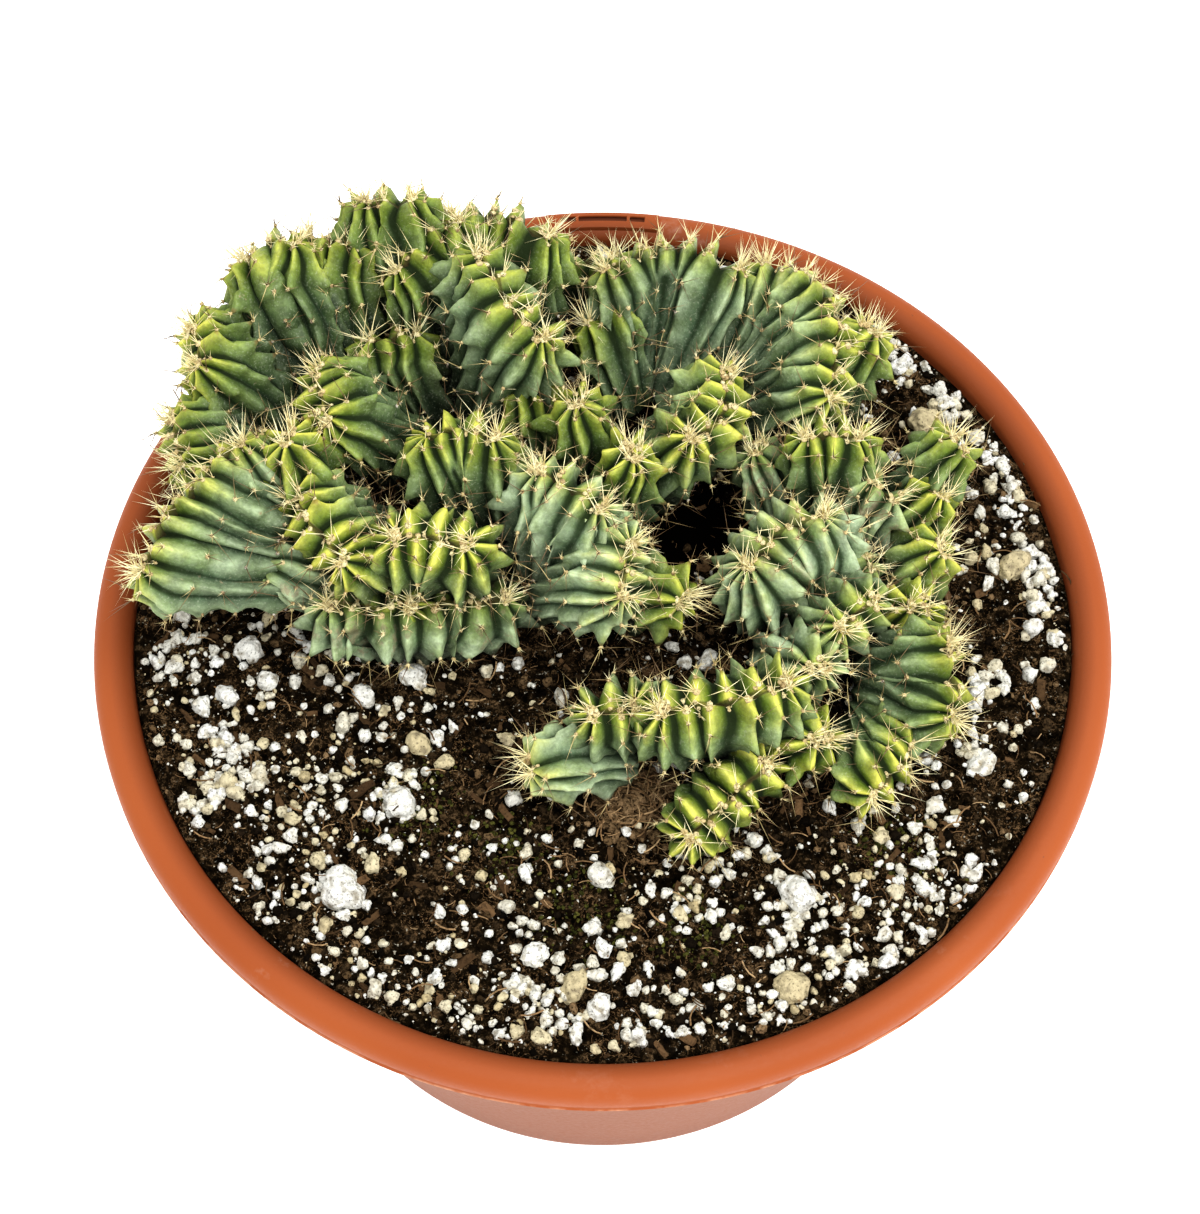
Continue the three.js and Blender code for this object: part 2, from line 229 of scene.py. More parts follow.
class Growth(Graph):  # a geometry tree with named inputs, run once on a piece
    def __init__(self, name, *inputs):
        tree = bpy.data.node_groups.new(name, "GeometryNodeTree")
        super().__init__(tree)
        sockets = [("Geometry", "Geometry"), *((key, "Float") for key in inputs), ("Seed", "Int")]
        for key, kind in sockets:
            tree.interface.new_socket(key, in_out="INPUT", socket_type="NodeSocket" + kind)
        tree.interface.new_socket("Geometry", in_out="OUTPUT", socket_type="NodeSocketGeometry")
        self.start = tree.nodes.new("NodeGroupInput")

    def given(self, name):
        return Link(self, self.start.outputs[name])

    def named(self, name, kind="FLOAT"):
        return self.node("GeometryNodeInputNamedAttribute", {"Name": name}, data_type=kind)

    def random(self, low, high, step=0):
        return self.node("FunctionNodeRandomValue", {
            0: low, 1: high, "Seed": self.given("Seed") + step}, data_type="FLOAT_VECTOR")

    def spin(self, tilt, roll):  # a random turn, with a limited lean to each side
        return self.random((-tilt, -roll, 0.0), (tilt, roll, 6.28))

    def alongAim(self):  # the turn that brings a shape's Z to each point's aim
        return self.node("FunctionNodeAlignRotationToVector", {
            "Vector": self.named("aim", "FLOAT_VECTOR")}, axis="Z")

    def sized(self, x, y, z):
        return self.node("ShaderNodeCombineXYZ", {0: x, 1: y, 2: z})

    def scaled(self, vector, amount):
        return self.node("ShaderNodeVectorMath", {0: vector, "Scale": amount}, operation="SCALE")

    def standing(self, shape, turn, size):  # the shape on every point of the piece
        return self.node("GeometryNodeInstanceOnPoints", {
            "Points": self.given("Geometry"), "Instance": shape, "Rotation": turn,
            "Scale": size})

    def finish(self, geometry, material, soft=True):
        whole = self.node("GeometryNodeRealizeInstances", {0: geometry})
        if soft:
            whole = self.node("GeometryNodeSetShadeSmooth", {0: whole})
        painted = self.node("GeometryNodeSetMaterial", {0: whole, "Material": material})
        end = self.tree.nodes.new("NodeGroupOutput")
        self.tree.links.new(painted.socket, end.inputs[0])
        return self

    def run(self, piece, **sizes):  # turns the piece into the plain mesh that the tree makes
        modifier = piece.modifiers.new("growth", "NODES")
        modifier.node_group = self.tree
        for item in self.tree.interface.items_tree:
            if item.in_out == "INPUT" and item.name in sizes:
                modifier[item.identifier] = sizes[item.name]
        bpy.context.view_layer.update()
        seen = piece.evaluated_get(bpy.context.evaluated_depsgraph_get())
        mesh = bpy.data.meshes.new_from_object(seen)
        piece.modifiers.remove(modifier)
        old = piece.data
        piece.data = mesh
        bpy.data.meshes.remove(old)


def settle(piece, *nodes, slot):  # a finished piece rides on the bowl and stands for nodes
    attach(piece, "root")
    if nodes:
        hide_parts(*nodes)


# The crests

crestSizes = {
    "pitch": 6.6,  # mm from rib to rib, half way up a crest's round top
    "headPitch": 8.6,  # the same on the round heads, which have fewer, fatter ribs
    "fewestRibs": 8,
    "samplesPerRib": 8,
    "lineSamples": 81,
    "levelStep": 2.0,  # mm between rings of points, on average
    "flankLevels": (8, 22),  # fewest and most rings below the round top
    "domeLevels": 16,
    "domeShare": 0.9,  # height of the round top, in half thicknesses
    "topTilt": 87,  # degrees up the round top where the last ring lies
    "rootRadius": 7.0,
    "rootSpread": 0.2,  # how much of the growing line's length the root has
    "headWidth": 2.4,
    "leanShare": 0.7,
    "uneven": 0.5,  # how far a rib may stand off its even place, in ribs
    "stagger": 0.42,  # how far the ribs of one face stand past those of the other
    "sway": 2.4,  # mm that a rib wanders to each side on its way down
    "swell": -0.4,  # mm that the flanks stand out, so less than nought draws them in
    "slim": 0.9,  # a crest without its teeth is a little slimmer than its solid
    "meander": 1.3,  # mm that a growing line wanders
    "firstTooth": 6.0,  # mm from the growing line to the first row of teeth
    "toothPitch": 8.8,
    "fadePitch": 3.4,  # where ribs crowd closer than this, every other one dies out
    "fadeAge": (30, 40),  # mm down a broad crest to the first such end, and their spread
    "lowest": 147.0,  # no teeth stand on the skin below this height
}

# What the ribs look like: the inputs of their tree, in mm.
ribSizes = {"Rib Depth": 2.9, "Tooth Height": 3.3, "Tooth Ramp": 3.3, "Tooth Drop": 1.2,
            "Seam Depth": 0.9, "Wobble": 0.9, "Seed": 1}

# Each crest: the line it grows along, its root, its thickness, then how far bloom
# covers it and how yellow its young growth is, both from 0 to 1. One point is a round head.
crests = {
    "crest_back": [
        ([(-59, 94, 195), (-48, 95, 196)], (-49, 68, 150), 21, 0.15, 0.35),
        ([(-52, 78, 189), (-46, 85, 193), (-37, 89, 194)], (-44, 62, 152), 19, 0.2, 0.5),
        ([(-38, 94, 190), (-26, 94, 191), (-14, 89, 189)], (-27, 68, 150), 20, 0.15, 0.3),
        ([(-30, 76, 197), (-23, 63, 199), (-15, 52, 196)], (-33, 54, 152), 23, 0.5, 0.75),
        ([(-57, 62, 180), (-47, 64, 180)], (-42, 50, 150), 17, 0.3, 0.3),
        ([(-69, 43, 194), (-69, 37, 195), (-67, 30, 194)], (-40, 36, 154), 22, 0.2, 0.75),
    ],
    "crest_left": [
        ([(-90, 80, 190), (-84, 83, 194), (-77, 82, 194)], (-62, 48, 150), 23, 0.15, 0.7),
        ([(-74, 87, 191), (-63, 84, 190)], (-62, 52, 150), 17, 0.1, 0.4),
        ([(-103, 62, 184), (-101, 51, 185)], (-66, 40, 152), 23, 0.15, 1.0),
        ([(-107, 40, 178), (-104, 26, 179)], (-66, 34, 150), 22, 0.2, 0.7),
        ([(-76, 24, 194)], (-66, 14, 156), 20, 0.1, 0.9),
        ([(-88, 25, 190), (-97, 16, 189), (-106, 5, 187), (-111, -6, 184)], (-58, 7, 159), 21,
         0.6, 1.0),
        ([(-82, 1, 176)], (-56, 2, 158), 17, 0.9, 0.1),
    ],
    "crest_front_left": [
        ([(-74, 11, 188), (-70, 2, 189), (-62, -6, 187)], (-40, 10, 152), 20, 0.35, 0.9),
        ([(-49, -2, 191), (-41, -2, 192), (-33, -4, 191)], (-40, 6, 152), 22, 0.3, 1.0),
        ([(-48, -10, 173)], (-46, -2, 158), 12, 0.1, 0.7),
        ([(-66, -9, 171), (-45, -9, 172), (-24, -6, 169)], (-46, -5, 148), 22, 0.8, 0.0),
    ],
    "crest_centre": [
        ([(-42, 26, 192), (-34, 28, 194), (-26, 26, 192)], (-26, 12, 152), 23, 0.3, 1.0),
        ([(-16, 17, 191), (-8, 13, 192), (0, 8, 189)], (-14, 4, 152), 23, 0.95, 1.0),
        ([(7, -1, 184), (5, -12, 180)], (-16, 3, 158), 22, 0.95, 0.8),
        ([(20, -6, 168)], (-2, 3, 156), 19, 0.3, 0.55),
        ([(-6, 39, 188)], (-4, 28, 150), 20, 0.1, 0.9),
        ([(-18, 48, 181)], (-9, 28, 150), 18, 0.15, 0.5),
        ([(7, 24, 188)], (3, 20, 152), 17, 0.2, 0.9),
        ([(31, 50, 182), (29, 37, 184), (23, 30, 184)], (10, 34, 154), 21, 0.45, 0.9),
    ],
    "crest_back_right": [
        ([(1, 86, 177), (11, 91, 180), (24, 91, 181), (34, 85, 179)], (12, 66, 150), 20,
         0.6, 0.6),
        ([(-3, 76, 170), (2, 79, 172)], (8, 62, 150), 17, 0.3, 0.5),
        ([(-9, 97, 168), (3, 97, 169)], (0, 78, 150), 17, 0.1, 0.3),
        ([(43, 88, 177), (52, 84, 179), (58, 74, 180), (60, 64, 179), (57, 48, 177)],
         (34, 58, 152), 20, 0.55, 0.7),
        ([(68, 69, 175)], (56, 59, 150), 17, 0.2, 0.7),
    ],
    "crest_right": [
        ([(51, 34, 180), (63, 35, 179)], (56, 26, 150), 18, 0.3, 0.9),
        ([(38, 36, 171)], (44, 28, 150), 15, 0.9, 0.05),
        ([(67, 26, 171), (72, 22, 169)], (62, 20, 150), 16, 1.0, 0.1),
    ],
    "crest_grey": [
        ([(35, 0, 176), (43, 8, 179), (53, 13, 178)], (44, 2, 150), 28, 0.95, 0.45),
        ([(62, 12, 168), (66, 5, 167)], (54, 4, 152), 16, 1.0, 0.2),
        ([(51, -27, 172)], (42, -12, 152), 20, 0.85, 0.35),
        ([(57, -17, 174), (64, -10, 174)], (50, -6, 152), 19, 0.7, 0.6),
    ],
    "crest_right_edge": [
        ([(89, 39, 169)], (75, 29, 148), 20, 0.25, 1.0),
        ([(84, 27, 165)], (73, 20, 148), 18, 0.25, 1.0),
        ([(84, 12, 163)], (70, 8, 148), 20, 0.3, 1.0),
        ([(77, -6, 165)], (70, -2, 148), 21, 0.25, 1.0),
        ([(84, -17, 163), (86, -25, 162), (84, -33, 161)], (64, -20, 150), 21, 0.35, 1.0),
        ([(75, -42, 158), (71, -49, 158), (65, -54, 157)], (62, -30, 150), 19, 0.3, 1.0),
    ],
    "crest_front": [
        ([(-2, -39, 172), (7, -38, 174)], (8, -34, 152), 20, 0.6, 1.0),
        ([(15, -41, 177), (30, -39, 179), (43, -34, 177)], (28, -36, 150), 23, 0.45, 0.95),
        ([(-18, -47, 160)], (6, -41, 152), 18, 0.95, 1.0),
        ([(21, -65, 158), (30, -57, 162), (39, -49, 163)], (31, -46, 150), 19, 0.1, 0.95),
        ([(52, -42, 164)], (43, -36, 150), 20, 0.1, 0.85),
    ],
}


def growthLine(line, root, seed):
    base = np.array(root, float)
    points = np.array(line, float)
    if len(points) == 1:  # a round head grows from a point: a very short line
        side = unit(np.cross(unit(points[0] - base), (0.3, 0.2, 1.0)))
        side = side * crestSizes["headWidth"] / 2
        points = np.array([points[0] - side, points[0] + side])

    # A smooth curve through the points, then points evenly along it.
    held = np.vstack([2 * points[0] - points[1], points, 2 * points[-1] - points[-2]])
    t = np.linspace(0, 1, 25)[:-1, None]
    path = []
    for a, b, c, d in zip(held, held[1:], held[2:], held[3:]):
        curve = 2 * b + (c - a) * t + (2 * a - 5 * b + 4 * c - d) * t ** 2
        path.append(0.5 * (curve + (3 * b - a - 3 * c + d) * t ** 3))
    path = np.vstack(path + [points[-1:]])
    far = np.r_[0, np.cumsum(np.linalg.norm(np.diff(path, axis=0), axis=1))]
    even = np.linspace(0, far[-1], crestSizes["lineSamples"])
    point = np.stack([np.interp(even, far, path[:, k]) for k in range(3)], axis=1)
    if len(line) > 1:
        sway = [cloud(point, 7, seed + 60 + k) * (1, 1, 0.6)[k] for k in range(3)]
        point = point + crestSizes["meander"] * np.stack(sway, -1)
    along = unit(np.gradient(point, axis=0))
    up = unit(point - base)
    up = unit(up - crestSizes["leanShare"] * (up * along).sum(1, keepdims=True) * along)
    face = unit(np.cross(along, up))
    return base, far[-1], point, along, up, face


# How far apart the ribs stand at each point of the grid, in mm, evened out over two ribs.
def ribRoom(skin):
    reach = crestSizes["samplesPerRib"]
    step = np.linalg.norm(np.roll(skin, -1, axis=1) - skin, axis=-1) * reach
    return np.mean([np.roll(step, k, axis=1) for k in range(-reach, reach + 1)], axis=0)


# The teeth of each rib, as rings of its grid, and how far from the nearest one each
# point lies along its rib.
def ribTeeth(age, rib, ribs, seed):
    s = crestSizes
    gap = np.full(age.shape, 99.0)
    teeth = []
    for r in range(ribs):
        column = r * s["samplesPerRib"]
        ages = age[:, column]
        first = s["firstTooth"] * (0.75 + 0.5 * chance(r, seed + 1))
        step = s["toothPitch"] * (0.85 + 0.3 * chance(r, seed + 2))
        rows = [int(np.argmin(np.abs(ages - a))) for a in np.arange(first, ages.max(), step)]
        mine = np.where(rib == r)[0]
        away = age[:, mine, None] - ages[rows]
        near = np.argmin(np.abs(away), axis=-1)[..., None]
        gap[:, mine] = np.take_along_axis(away, near, -1)[..., 0]
        teeth += [(row, column, place) for place, row in enumerate(rows)]
    return gap, teeth


# Where each column of a crest's grid stands: its order in ribs, with whole numbers on the
# ridges, and its way round the crest, which is 2 in all. The ribs are a little uneven,
# and those of one face end between those of the other.
def ribColumns(ribs, seed):
    s = crestSizes
    order = np.arange(ribs * s["samplesPerRib"]) / s["samplesPerRib"]
    knots = np.arange(ribs + 1)
    uneven = s["uneven"] * (chance(knots, seed + 0.5) - 0.5)
    uneven[-1] = uneven[0]
    late = np.clip(order / (ribs / 2) - 1, 0, 1)
    turns = order + np.interp(order, knots, uneven) + s["stagger"] * np.sin(math.pi * late)
    return order, turns / ribs * 2


# What the ribs' tree and the skin read at each point of the grid, and the teeth.
def ribFields(skin, age, order, ribs, seed, **looks):
    s = crestSizes
    rib = np.round(order).astype(int) % ribs
    pair = np.floor(order / 2)
    lot = lambda step: chance(pair % (ribs // 2), seed + step)
    room = ribRoom(skin)

    # Lower down, where it gets narrow, every other rib dies out between its neighbours.
    merge = smooth((s["fadePitch"] * (0.8 + 0.5 * lot(4)) - room) / 1.6 + 0.5)
    if ribs > 12:
        first, spread = s["fadeAge"]
        merge = np.maximum(merge, smooth((age - first - spread * lot(5)) / 8))
    merge = merge * smooth((age - s["firstTooth"] - 2) / 5)
    odd = np.round(order) % 2 == 1
    size = (0.75 + 0.5 * chance(rib, seed + 3)) * np.where(odd, 1 - merge, 1)
    deep = 0.75 + 0.5 * chance(np.floor(order), seed + 6)  # some grooves are shallower
    gap, teeth = ribTeeth(age, rib, ribs, seed)
    fields = {
        "age": age,
        "offset": np.abs(order - np.round(order)) * 2,
        "spread": 1 - np.abs(order - 2 * pair - 1),
        "merge": merge,
        "gap": gap,
        "size": size,
        "room": np.clip(room * (1 + 0.7 * merge) / s["pitch"], 0.35, 1.2) * deep,
        "lot": chance(seed, 3),
        **looks,
    }
    grid = {key: np.broadcast_to(value, age.shape) for key, value in fields.items()}
    angle, around = order / ribs * 2 * math.pi, ribs / (2 * math.pi)
    flow = [np.cos(angle) * around, np.sin(angle) * around, age * 0.06 + seed]
    grid["flow"] = np.stack(np.broadcast_arrays(*flow), -1)
    return grid, [t for t in teeth if size[t[0], t[1]] > 0.4]


# The smooth body of a crest as a grid of points: rings from its root up to the growing
# line, the upper ones round its domed top.
def crestBody(spec, seed):
    line, root, thick, bloom, vigour = spec
    s = crestSizes
    base, length, point, along, up, face = growthLine(line, root, seed)
    half = thick * s["slim"] / 2
    dome = half * s["domeShare"]
    quarter = math.pi * half / 2
    girth = length + 2 * quarter  # half way round the crest
    pitch = s["headPitch"] if len(line) == 1 else s["pitch"]
    ribs = max(s["fewestRibs"], 2 * round(girth / pitch))
    order, turns = ribColumns(ribs, seed)
    middle = point[len(point) // 2]
    reach = np.linalg.norm(middle - base) - dome
    steps = int(np.clip(reach / s["levelStep"], *s["flankLevels"]))
    v = np.linspace(1, 0, steps)
    tilts = np.radians(np.linspace(0, s["topTilt"], s["domeLevels"] + 1)[1:])
    rise = np.r_[1 - 0.55 * v - 0.45 * v ** 2, np.ones(len(tilts))][:, None]
    tilt = np.r_[np.zeros(steps), tilts][:, None]
    arc = quarter * 0.95
    fromLine = lambda flank: (1 - tilt / (math.pi / 2)) * arc + (1 - rise) * flank

    depth = fromLine(reach)
    ring = [turned(turns * math.pi) * girth / math.pi for turned in (np.cos, np.sin)]
    place = np.stack(np.broadcast_arrays(*ring, depth), -1)
    sway = s["sway"] * smooth(depth / 14) * cloud(place, 13, seed + 30)
    way = (turns * girth + sway) % (2 * girth)
    back = way > girth
    q = np.where(back, 2 * girth - way, way)
    u = np.clip((q - quarter) / length, 0, 1)
    turn = np.minimum(np.minimum(q, girth - q), quarter) / half
    at = u * (len(point) - 1)
    pick = lambda field: np.stack(
        [np.interp(at, np.arange(len(point)), field[:, k]) for k in range(3)], axis=-1)
    centre, tangent, upward, facing = (pick(f) for f in (point, along, up, face))
    out = facing * (np.where(back, -1, 1) * np.sin(turn))[..., None]
    out = unit(out + tangent * (np.where(q > girth / 2, 1, -1) * np.cos(turn))[..., None])
    low = base + s["rootSpread"] * (centre - middle) + out * s["rootRadius"]
    shoulder = centre - upward * dome + out * half
    skin = shoulder + upward * dome * np.sin(tilt)[..., None]
    skin = skin - out * half * (1 - np.cos(tilt))[..., None]
    skin = low + (skin - low) * rise[..., None]
    skin = skin + out * (s["swell"] * np.sin(math.pi * rise))[..., None]
    age = fromLine(np.linalg.norm(shoulder - low, axis=-1))
    grid, teeth = ribFields(skin, age, order, ribs, seed, bloom=bloom, vigour=vigour)
    grid["push"] = unit(out * np.cos(tilt)[..., None] + upward * np.sin(tilt)[..., None])
    return {"skin": skin, "grid": grid, "ribs": ribs, "teeth": teeth, "up": upward,
            "along": tangent, "u": u}


# How deep each point lies among the crests round it, from 0 in the open to 1, which the skin's
# material turns into painted shade.
def addPaintedShadeDepth(group):
    cell, edge, ground = 3.0, 135.0, 140.0  # mm: a cell of the map, its half width, the soil
    cells = int(2 * edge / cell)
    roof = np.full((cells, cells), ground)
    spots = np.concatenate([crest["skin"].reshape(-1, 3) for crest in group])
    np.maximum.at(roof, tuple(((spots[:, :2] + edge) / cell).astype(int).T), spots[:, 2])
    near = [(i, j) for i in range(-4, 5) for j in range(-4, 5) if i * i + j * j <= 17]
    roof = np.mean([np.roll(roof, shift, (0, 1)) for shift in near], axis=0)
    for crest in group:
        i, j = np.moveaxis(((crest["skin"][..., :2] + edge) / cell).astype(int), -1, 0)
        depth = roof[i, j] - crest["skin"][..., 2]
        crest["grid"]["shelter"] = np.clip((depth - 1) / 22, 0, 1)


# The squares round a crest, then the strips across its foot and along its seam.
def crestFaces(levels, count, start=0):
    faces = (ringFaces(levels, count) + start).tolist()
    for base, flip in ((0, True), ((levels - 1) * count, False)):
        for k in range(count // 2):
            a, b = k, k + 1
            c, d = (count - k - 1) % count, (count - k) % count
            ring = [a, b, c] if k == 0 else [a, b, d] if k == count // 2 - 1 else [a, b, c, d]
            ring = [start + base + x for x in ring]
            faces.append(ring[::-1] if flip else ring)
    return faces


# Ribs: fat rounded fingers along the growing line, which turn into sharp pleats below
# the first row of teeth. A tooth rises slowly to its tip and drops quickly below it.
def ribTree(material):
    g = Growth("ribs", "Rib Depth", "Tooth Height", "Tooth Ramp", "Tooth Drop",
               "Seam Depth", "Wobble")
    age, offset, spread, merge, gap, size, room = (
        g.named(n) for n in ("age", "offset", "spread", "merge", "gap", "size", "room"))
    pleat = lambda far: (far * far + 0.015) ** 0.5 - 0.12
    lower = g.span(age, 4, 10, kind="SMOOTHSTEP")
    single = offset ** 2.6 * (1.0 - lower) + pleat(offset) * 1.1 * lower
    groove = single * (1.0 - merge) + pleat(spread) * merge
    groove = groove * (1.0 - lower * 0.15) * g.span(age, 12, 30, 1.0, 0.65)
    groove = groove * room * g.given("Rib Depth") * g.span(age, 0, 3, 0.6, 1.0)
    ramp, drop = g.given("Tooth Ramp"), g.given("Tooth Drop")
    width = drop + (ramp - drop) * gap.maths("LESS_THAN", 0.0)
    tooth = (gap.maths("ABSOLUTE") / width * -1.0).maths("EXPONENT") * offset.bell(0.42)
    stand = (tooth - 0.2) * size * room * g.given("Tooth Height")
    seam = age.bell(1.0) * g.given("Seam Depth")
    broad = g.node("ShaderNodeTexNoise", {"Scale": 85.0, "Detail": 2.0}) - 0.5
    relief = stand - groove - seam + broad * g.given("Wobble")
    push = g.scaled(g.named("push", "FLOAT_VECTOR"), relief * mm)
    grown = g.node("GeometryNodeSetPosition", {0: g.given("Geometry"), "Offset": push})
    crease = offset * (1.0 - merge) + spread * merge
    for name, value in (("tooth", tooth * size), ("crease", crease)):
        grown = g.node("GeometryNodeStoreNamedAttribute", {
            0: grown, "Name": name, "Value": value}, data_type="FLOAT", domain="POINT")
    return g.finish(grown, material)


# The waxy skin: yellow-green fingers along the growing line, green flanks, then older darker skin,
# all under more or less of a pale bloom, with corky scars where it has aged. Painted highlight and
# painted shade make the ridges lighter and the grooves darker, and painted shade darkens the skin
# low and deep among the crests.
def cactusSkin():
    f = Finish("cactusSkin", Specular_IOR_Level=0.25)
    age, crease, tooth = (f.attribute(n) for n in ("age", "crease", "tooth"))
    bloomShare, vigour, lot = (f.attribute(n) for n in ("bloom", "vigour", "lot"))
    flow = f.attribute("flow", "Vector")  # runs along the ribs
    streak = f.noise(3.2, 3, 0.5, on=flow)
    threads = f.noise(11, 4, 0.65, on=flow)
    blotch = f.noise(70, 3, 0.6)
    fine = f.noise(650, 2, 0.6, seed=3.0)
    mottle = f.noise(230, 5, 0.7, seed=14.0)
    wander = age + (blotch - 0.5) * 14.0 + (lot - 0.5) * 6.0
    ridge = 1.0 - crease + (streak - 0.5) * 0.5
    # crown runs from a rib's groove to its ridge, and the colours below go from dark in the groove
    # to light on the ridge: partly the skin's own colour, partly painted shade in the grooves and
    # painted highlight on the ridges.
    crown = f.span(ridge, 0.1, 0.95)
    green = f.mix((0.036, 0.068, 0.012), (0.200, 0.268, 0.046), crown)
    lime = f.mix((0.085, 0.138, 0.014), (0.640, 0.625, 0.110), crown ** 2.6)
    dark = f.mix((0.016, 0.038, 0.012), (0.088, 0.138, 0.042), crown)
    colour = f.mix(green, dark, f.span(wander, 8, 22))
    colour = f.mix(colour, lime, f.span(wander, 12.5, 2) * vigour)
    film = f.span(f.noise(130, 4, 0.65, seed=5.0), 0.34, 0.64, 0.35, 1.0)
    film = film * f.span(age + bloomShare * 10.0, 9, 17) * bloomShare
    bloom = f.mix((0.108, 0.168, 0.098), (0.485, 0.585, 0.395), crown)
    colour = f.mix(colour, bloom, film * 0.9)
    scar = f.span(f.noise(170, 4, 0.7, seed=8.0), 0.55, 0.64)
    scar = scar * f.span(bloomShare - vigour * 0.6, 0.45, 0.9)
    colour = f.mix(colour, (0.260, 0.200, 0.130), scar * 0.75)  # cork
    nicks = f.span(f.noise(330, 3, 0.6, seed=11.0), 0.70, 0.74) * f.span(age, 4, 12)
    colour = f.mix(colour, (0.330, 0.270, 0.170), nicks * 0.6)
    shade = f.span(mottle, 0.28, 0.70, 0.58, 1.36) * f.span(threads, 0.3, 0.7, 0.84, 1.22)
    # Painted shade: skin far below its growing line darkens, partly as older skin's own colour and
    # partly as shade low among the crests, and what lies deep among the crests is darkened as
    # painted shade.
    shade = shade * (1.0 - f.span(age, 12, 36) * (1.0 - bloomShare * 0.9) * 0.4)
    deep = f.span(f.attribute("shelter"), 0.05, 0.60) * (1.0 - bloomShare * 0.25)
    shade = shade * (1.0 - deep * 0.95)
    colour = f.mix(colour, shade, 1.0, "MULTIPLY")
    powder = f.span(f.noise(1500, 2, 0.7, seed=17.0), 0.56, 0.66)
    colour = f.mix(colour, (0.480, 0.520, 0.380), powder * f.span(age, 3, 12, 0.06, 0.22))
    # Painted shade: the grooves between ribs go near black, in narrower lines lower down and a
    # little less under bloom.
    narrow = f.span(age, 8, 20, 0.0, 0.16)
    groove = f.span(crease + (streak - 0.5) * 0.22 - narrow, 0.60, 0.84)
    groove = groove * (1.0 - film * 0.25) * f.span(age, 8, 24, 1.0, 0.85)
    colour = f.mix(colour, (0.010, 0.018, 0.004), groove * 0.95)
    colour = f.mix(colour, (0.240, 0.120, 0.050), f.span(tooth, 0.84, 0.99) * 0.5)  # tips
    colour = f.mix(colour, (0.080, 0.060, 0.020), f.span(age, 0.9, 0.4) * 0.8)  # seam
    f.feed("Base Color", colour)
    f.feed("Roughness", f.span(fine, 0.3, 0.7, 0.38, 0.50) + film * 0.2 + groove * 0.5)
    f.bump(fine * 0.4 + streak * 0.5 + threads * 0.3, 0.0009, 0.8)
    return f.material


# Several crests that grew from one stem make one piece, whose ribs the tree then raises.
def growStem(stem, group, tree):
    starts = np.cumsum([0] + [crest["u"].size for crest in group]).tolist()
    faces = [face for crest, start in zip(group, starts)
             for face in crestFaces(*crest["u"].shape, start)]
    flat = lambda v: v.reshape(-1, 3) if v.ndim == 3 else v.ravel()
    skin = np.concatenate([flat(crest["skin"]) for crest in group])
    fields = {key: np.concatenate([flat(crest["grid"][key]) for crest in group])
              for key in group[0]["grid"]}
    piece = meshObject(stem + "Skin", skin, faces, fields)
    tree.run(piece, **ribSizes)
    grown = np.empty(len(skin) * 3, np.float32)
    piece.data.vertices.foreach_get("co", grown)
    for crest, points in zip(group, np.split(grown.reshape(-1, 3) / mm, starts[1:-1])):
        crest["skin"] = points.reshape(crest["skin"].shape)
    for key in ("push", "offset", "spread", "merge", "gap", "size", "room"):
        piece.data.attributes.remove(piece.data.attributes[key])
    settle(piece, stem, slot="cactus_skin")
    return len(faces)


stems = {}
for number, (stem, specs) in enumerate(crests.items()):
    stems[stem] = [crestBody(spec, number * 20 + k) for k, spec in enumerate(specs)]
everyCrest = [crest for group in stems.values() for crest in group]
addPaintedShadeDepth(everyCrest)
ribs = ribTree(cactusSkin())
faceCount = sum(growStem(stem, group, ribs) for stem, group in stems.items())
print("crests:", len(everyCrest), "faces:", faceCount)


# Spines, areoles and wool

spineSizes = {
    "seed": 11,
    "longReach": (3.5, 9.5),  # mm, stout spines of the growing line
    "endReach": (4.5, 12.0),  # the same at its ends
    "fineReach": (4.5, 11.0),  # fine spines among them
    "hairReach": (0.9, 1.9),
    "thinReach": (4.0, 10.5),  # dark spines of the teeth
    "shortReach": (1.3, 3.2),  # pale ones, on the two upper rows of teeth
    "oldReach": (1.0, 2.2),  # and lower down
    "longWidth": 0.17,  # radius at the foot of a spine
    "thinWidth": 0.15,
    "shortWidth": 0.14,
    "areole": 0.55,  # radius of a tooth's cushion
    "lineAreole": (0.7, 1.15),
    "seamWool": (0.6, 1.0),
}
rng = np.random.default_rng(spineSizes["seed"])


def shellOf(crest):
    return BVHTree.FromPolygons(crest["skin"].reshape(-1, 3).tolist(),
                                crestFaces(*crest["u"].shape))


shells = [(shellOf(c), c["skin"].min((0, 1)), c["skin"].max((0, 1))) for c in everyCrest]


def buried(place, own=None, depth=0.3):  # whether a point lies inside a crest
    for k, (shell, low, high) in enumerate(shells):
        if k == own or (place < low).any() or (place > high).any():
            continue
        near, normal, _, _ = shell.find_nearest(Vector(place))
        if near and (Vector(place) - near).dot(normal) < -depth:
            return True
    return False


def between(limits, power=1.0):
    return limits[0] + (limits[1] - limits[0]) * rng.random() ** power


def lineSpines(place, up, out, along, count, reach):
    s = spineSizes
    for _ in range(count):  # stout spines
        aim = up * (0.25 + 0.6 * rng.random()) + out * rng.normal(0.55, 0.5)
        aim = unit(aim + along * rng.normal(0, 0.6))
        yield place - aim * 0.4, aim, between(reach, 1.4), s["longWidth"], 0.3 * rng.random()
    for _ in range(rng.integers(1, 4)):  # fine ones
        aim = unit(up * 0.5 + out * 0.3 + rng.normal(0, 0.6, 3))
        tint = 0.4 * rng.random()
        yield place - aim * 0.3, aim, between(s["fineReach"]), s["thinWidth"], tint
    for _ in range(3):  # woolly hairs
        aim = unit(up * 0.8 + rng.normal(0, 0.6, 3))
        foot = place + rng.normal(0, 0.35, 3) - aim * 0.3
        yield foot, aim, between(s["hairReach"]), s["thinWidth"], 0.02 + 0.3 * rng.random()


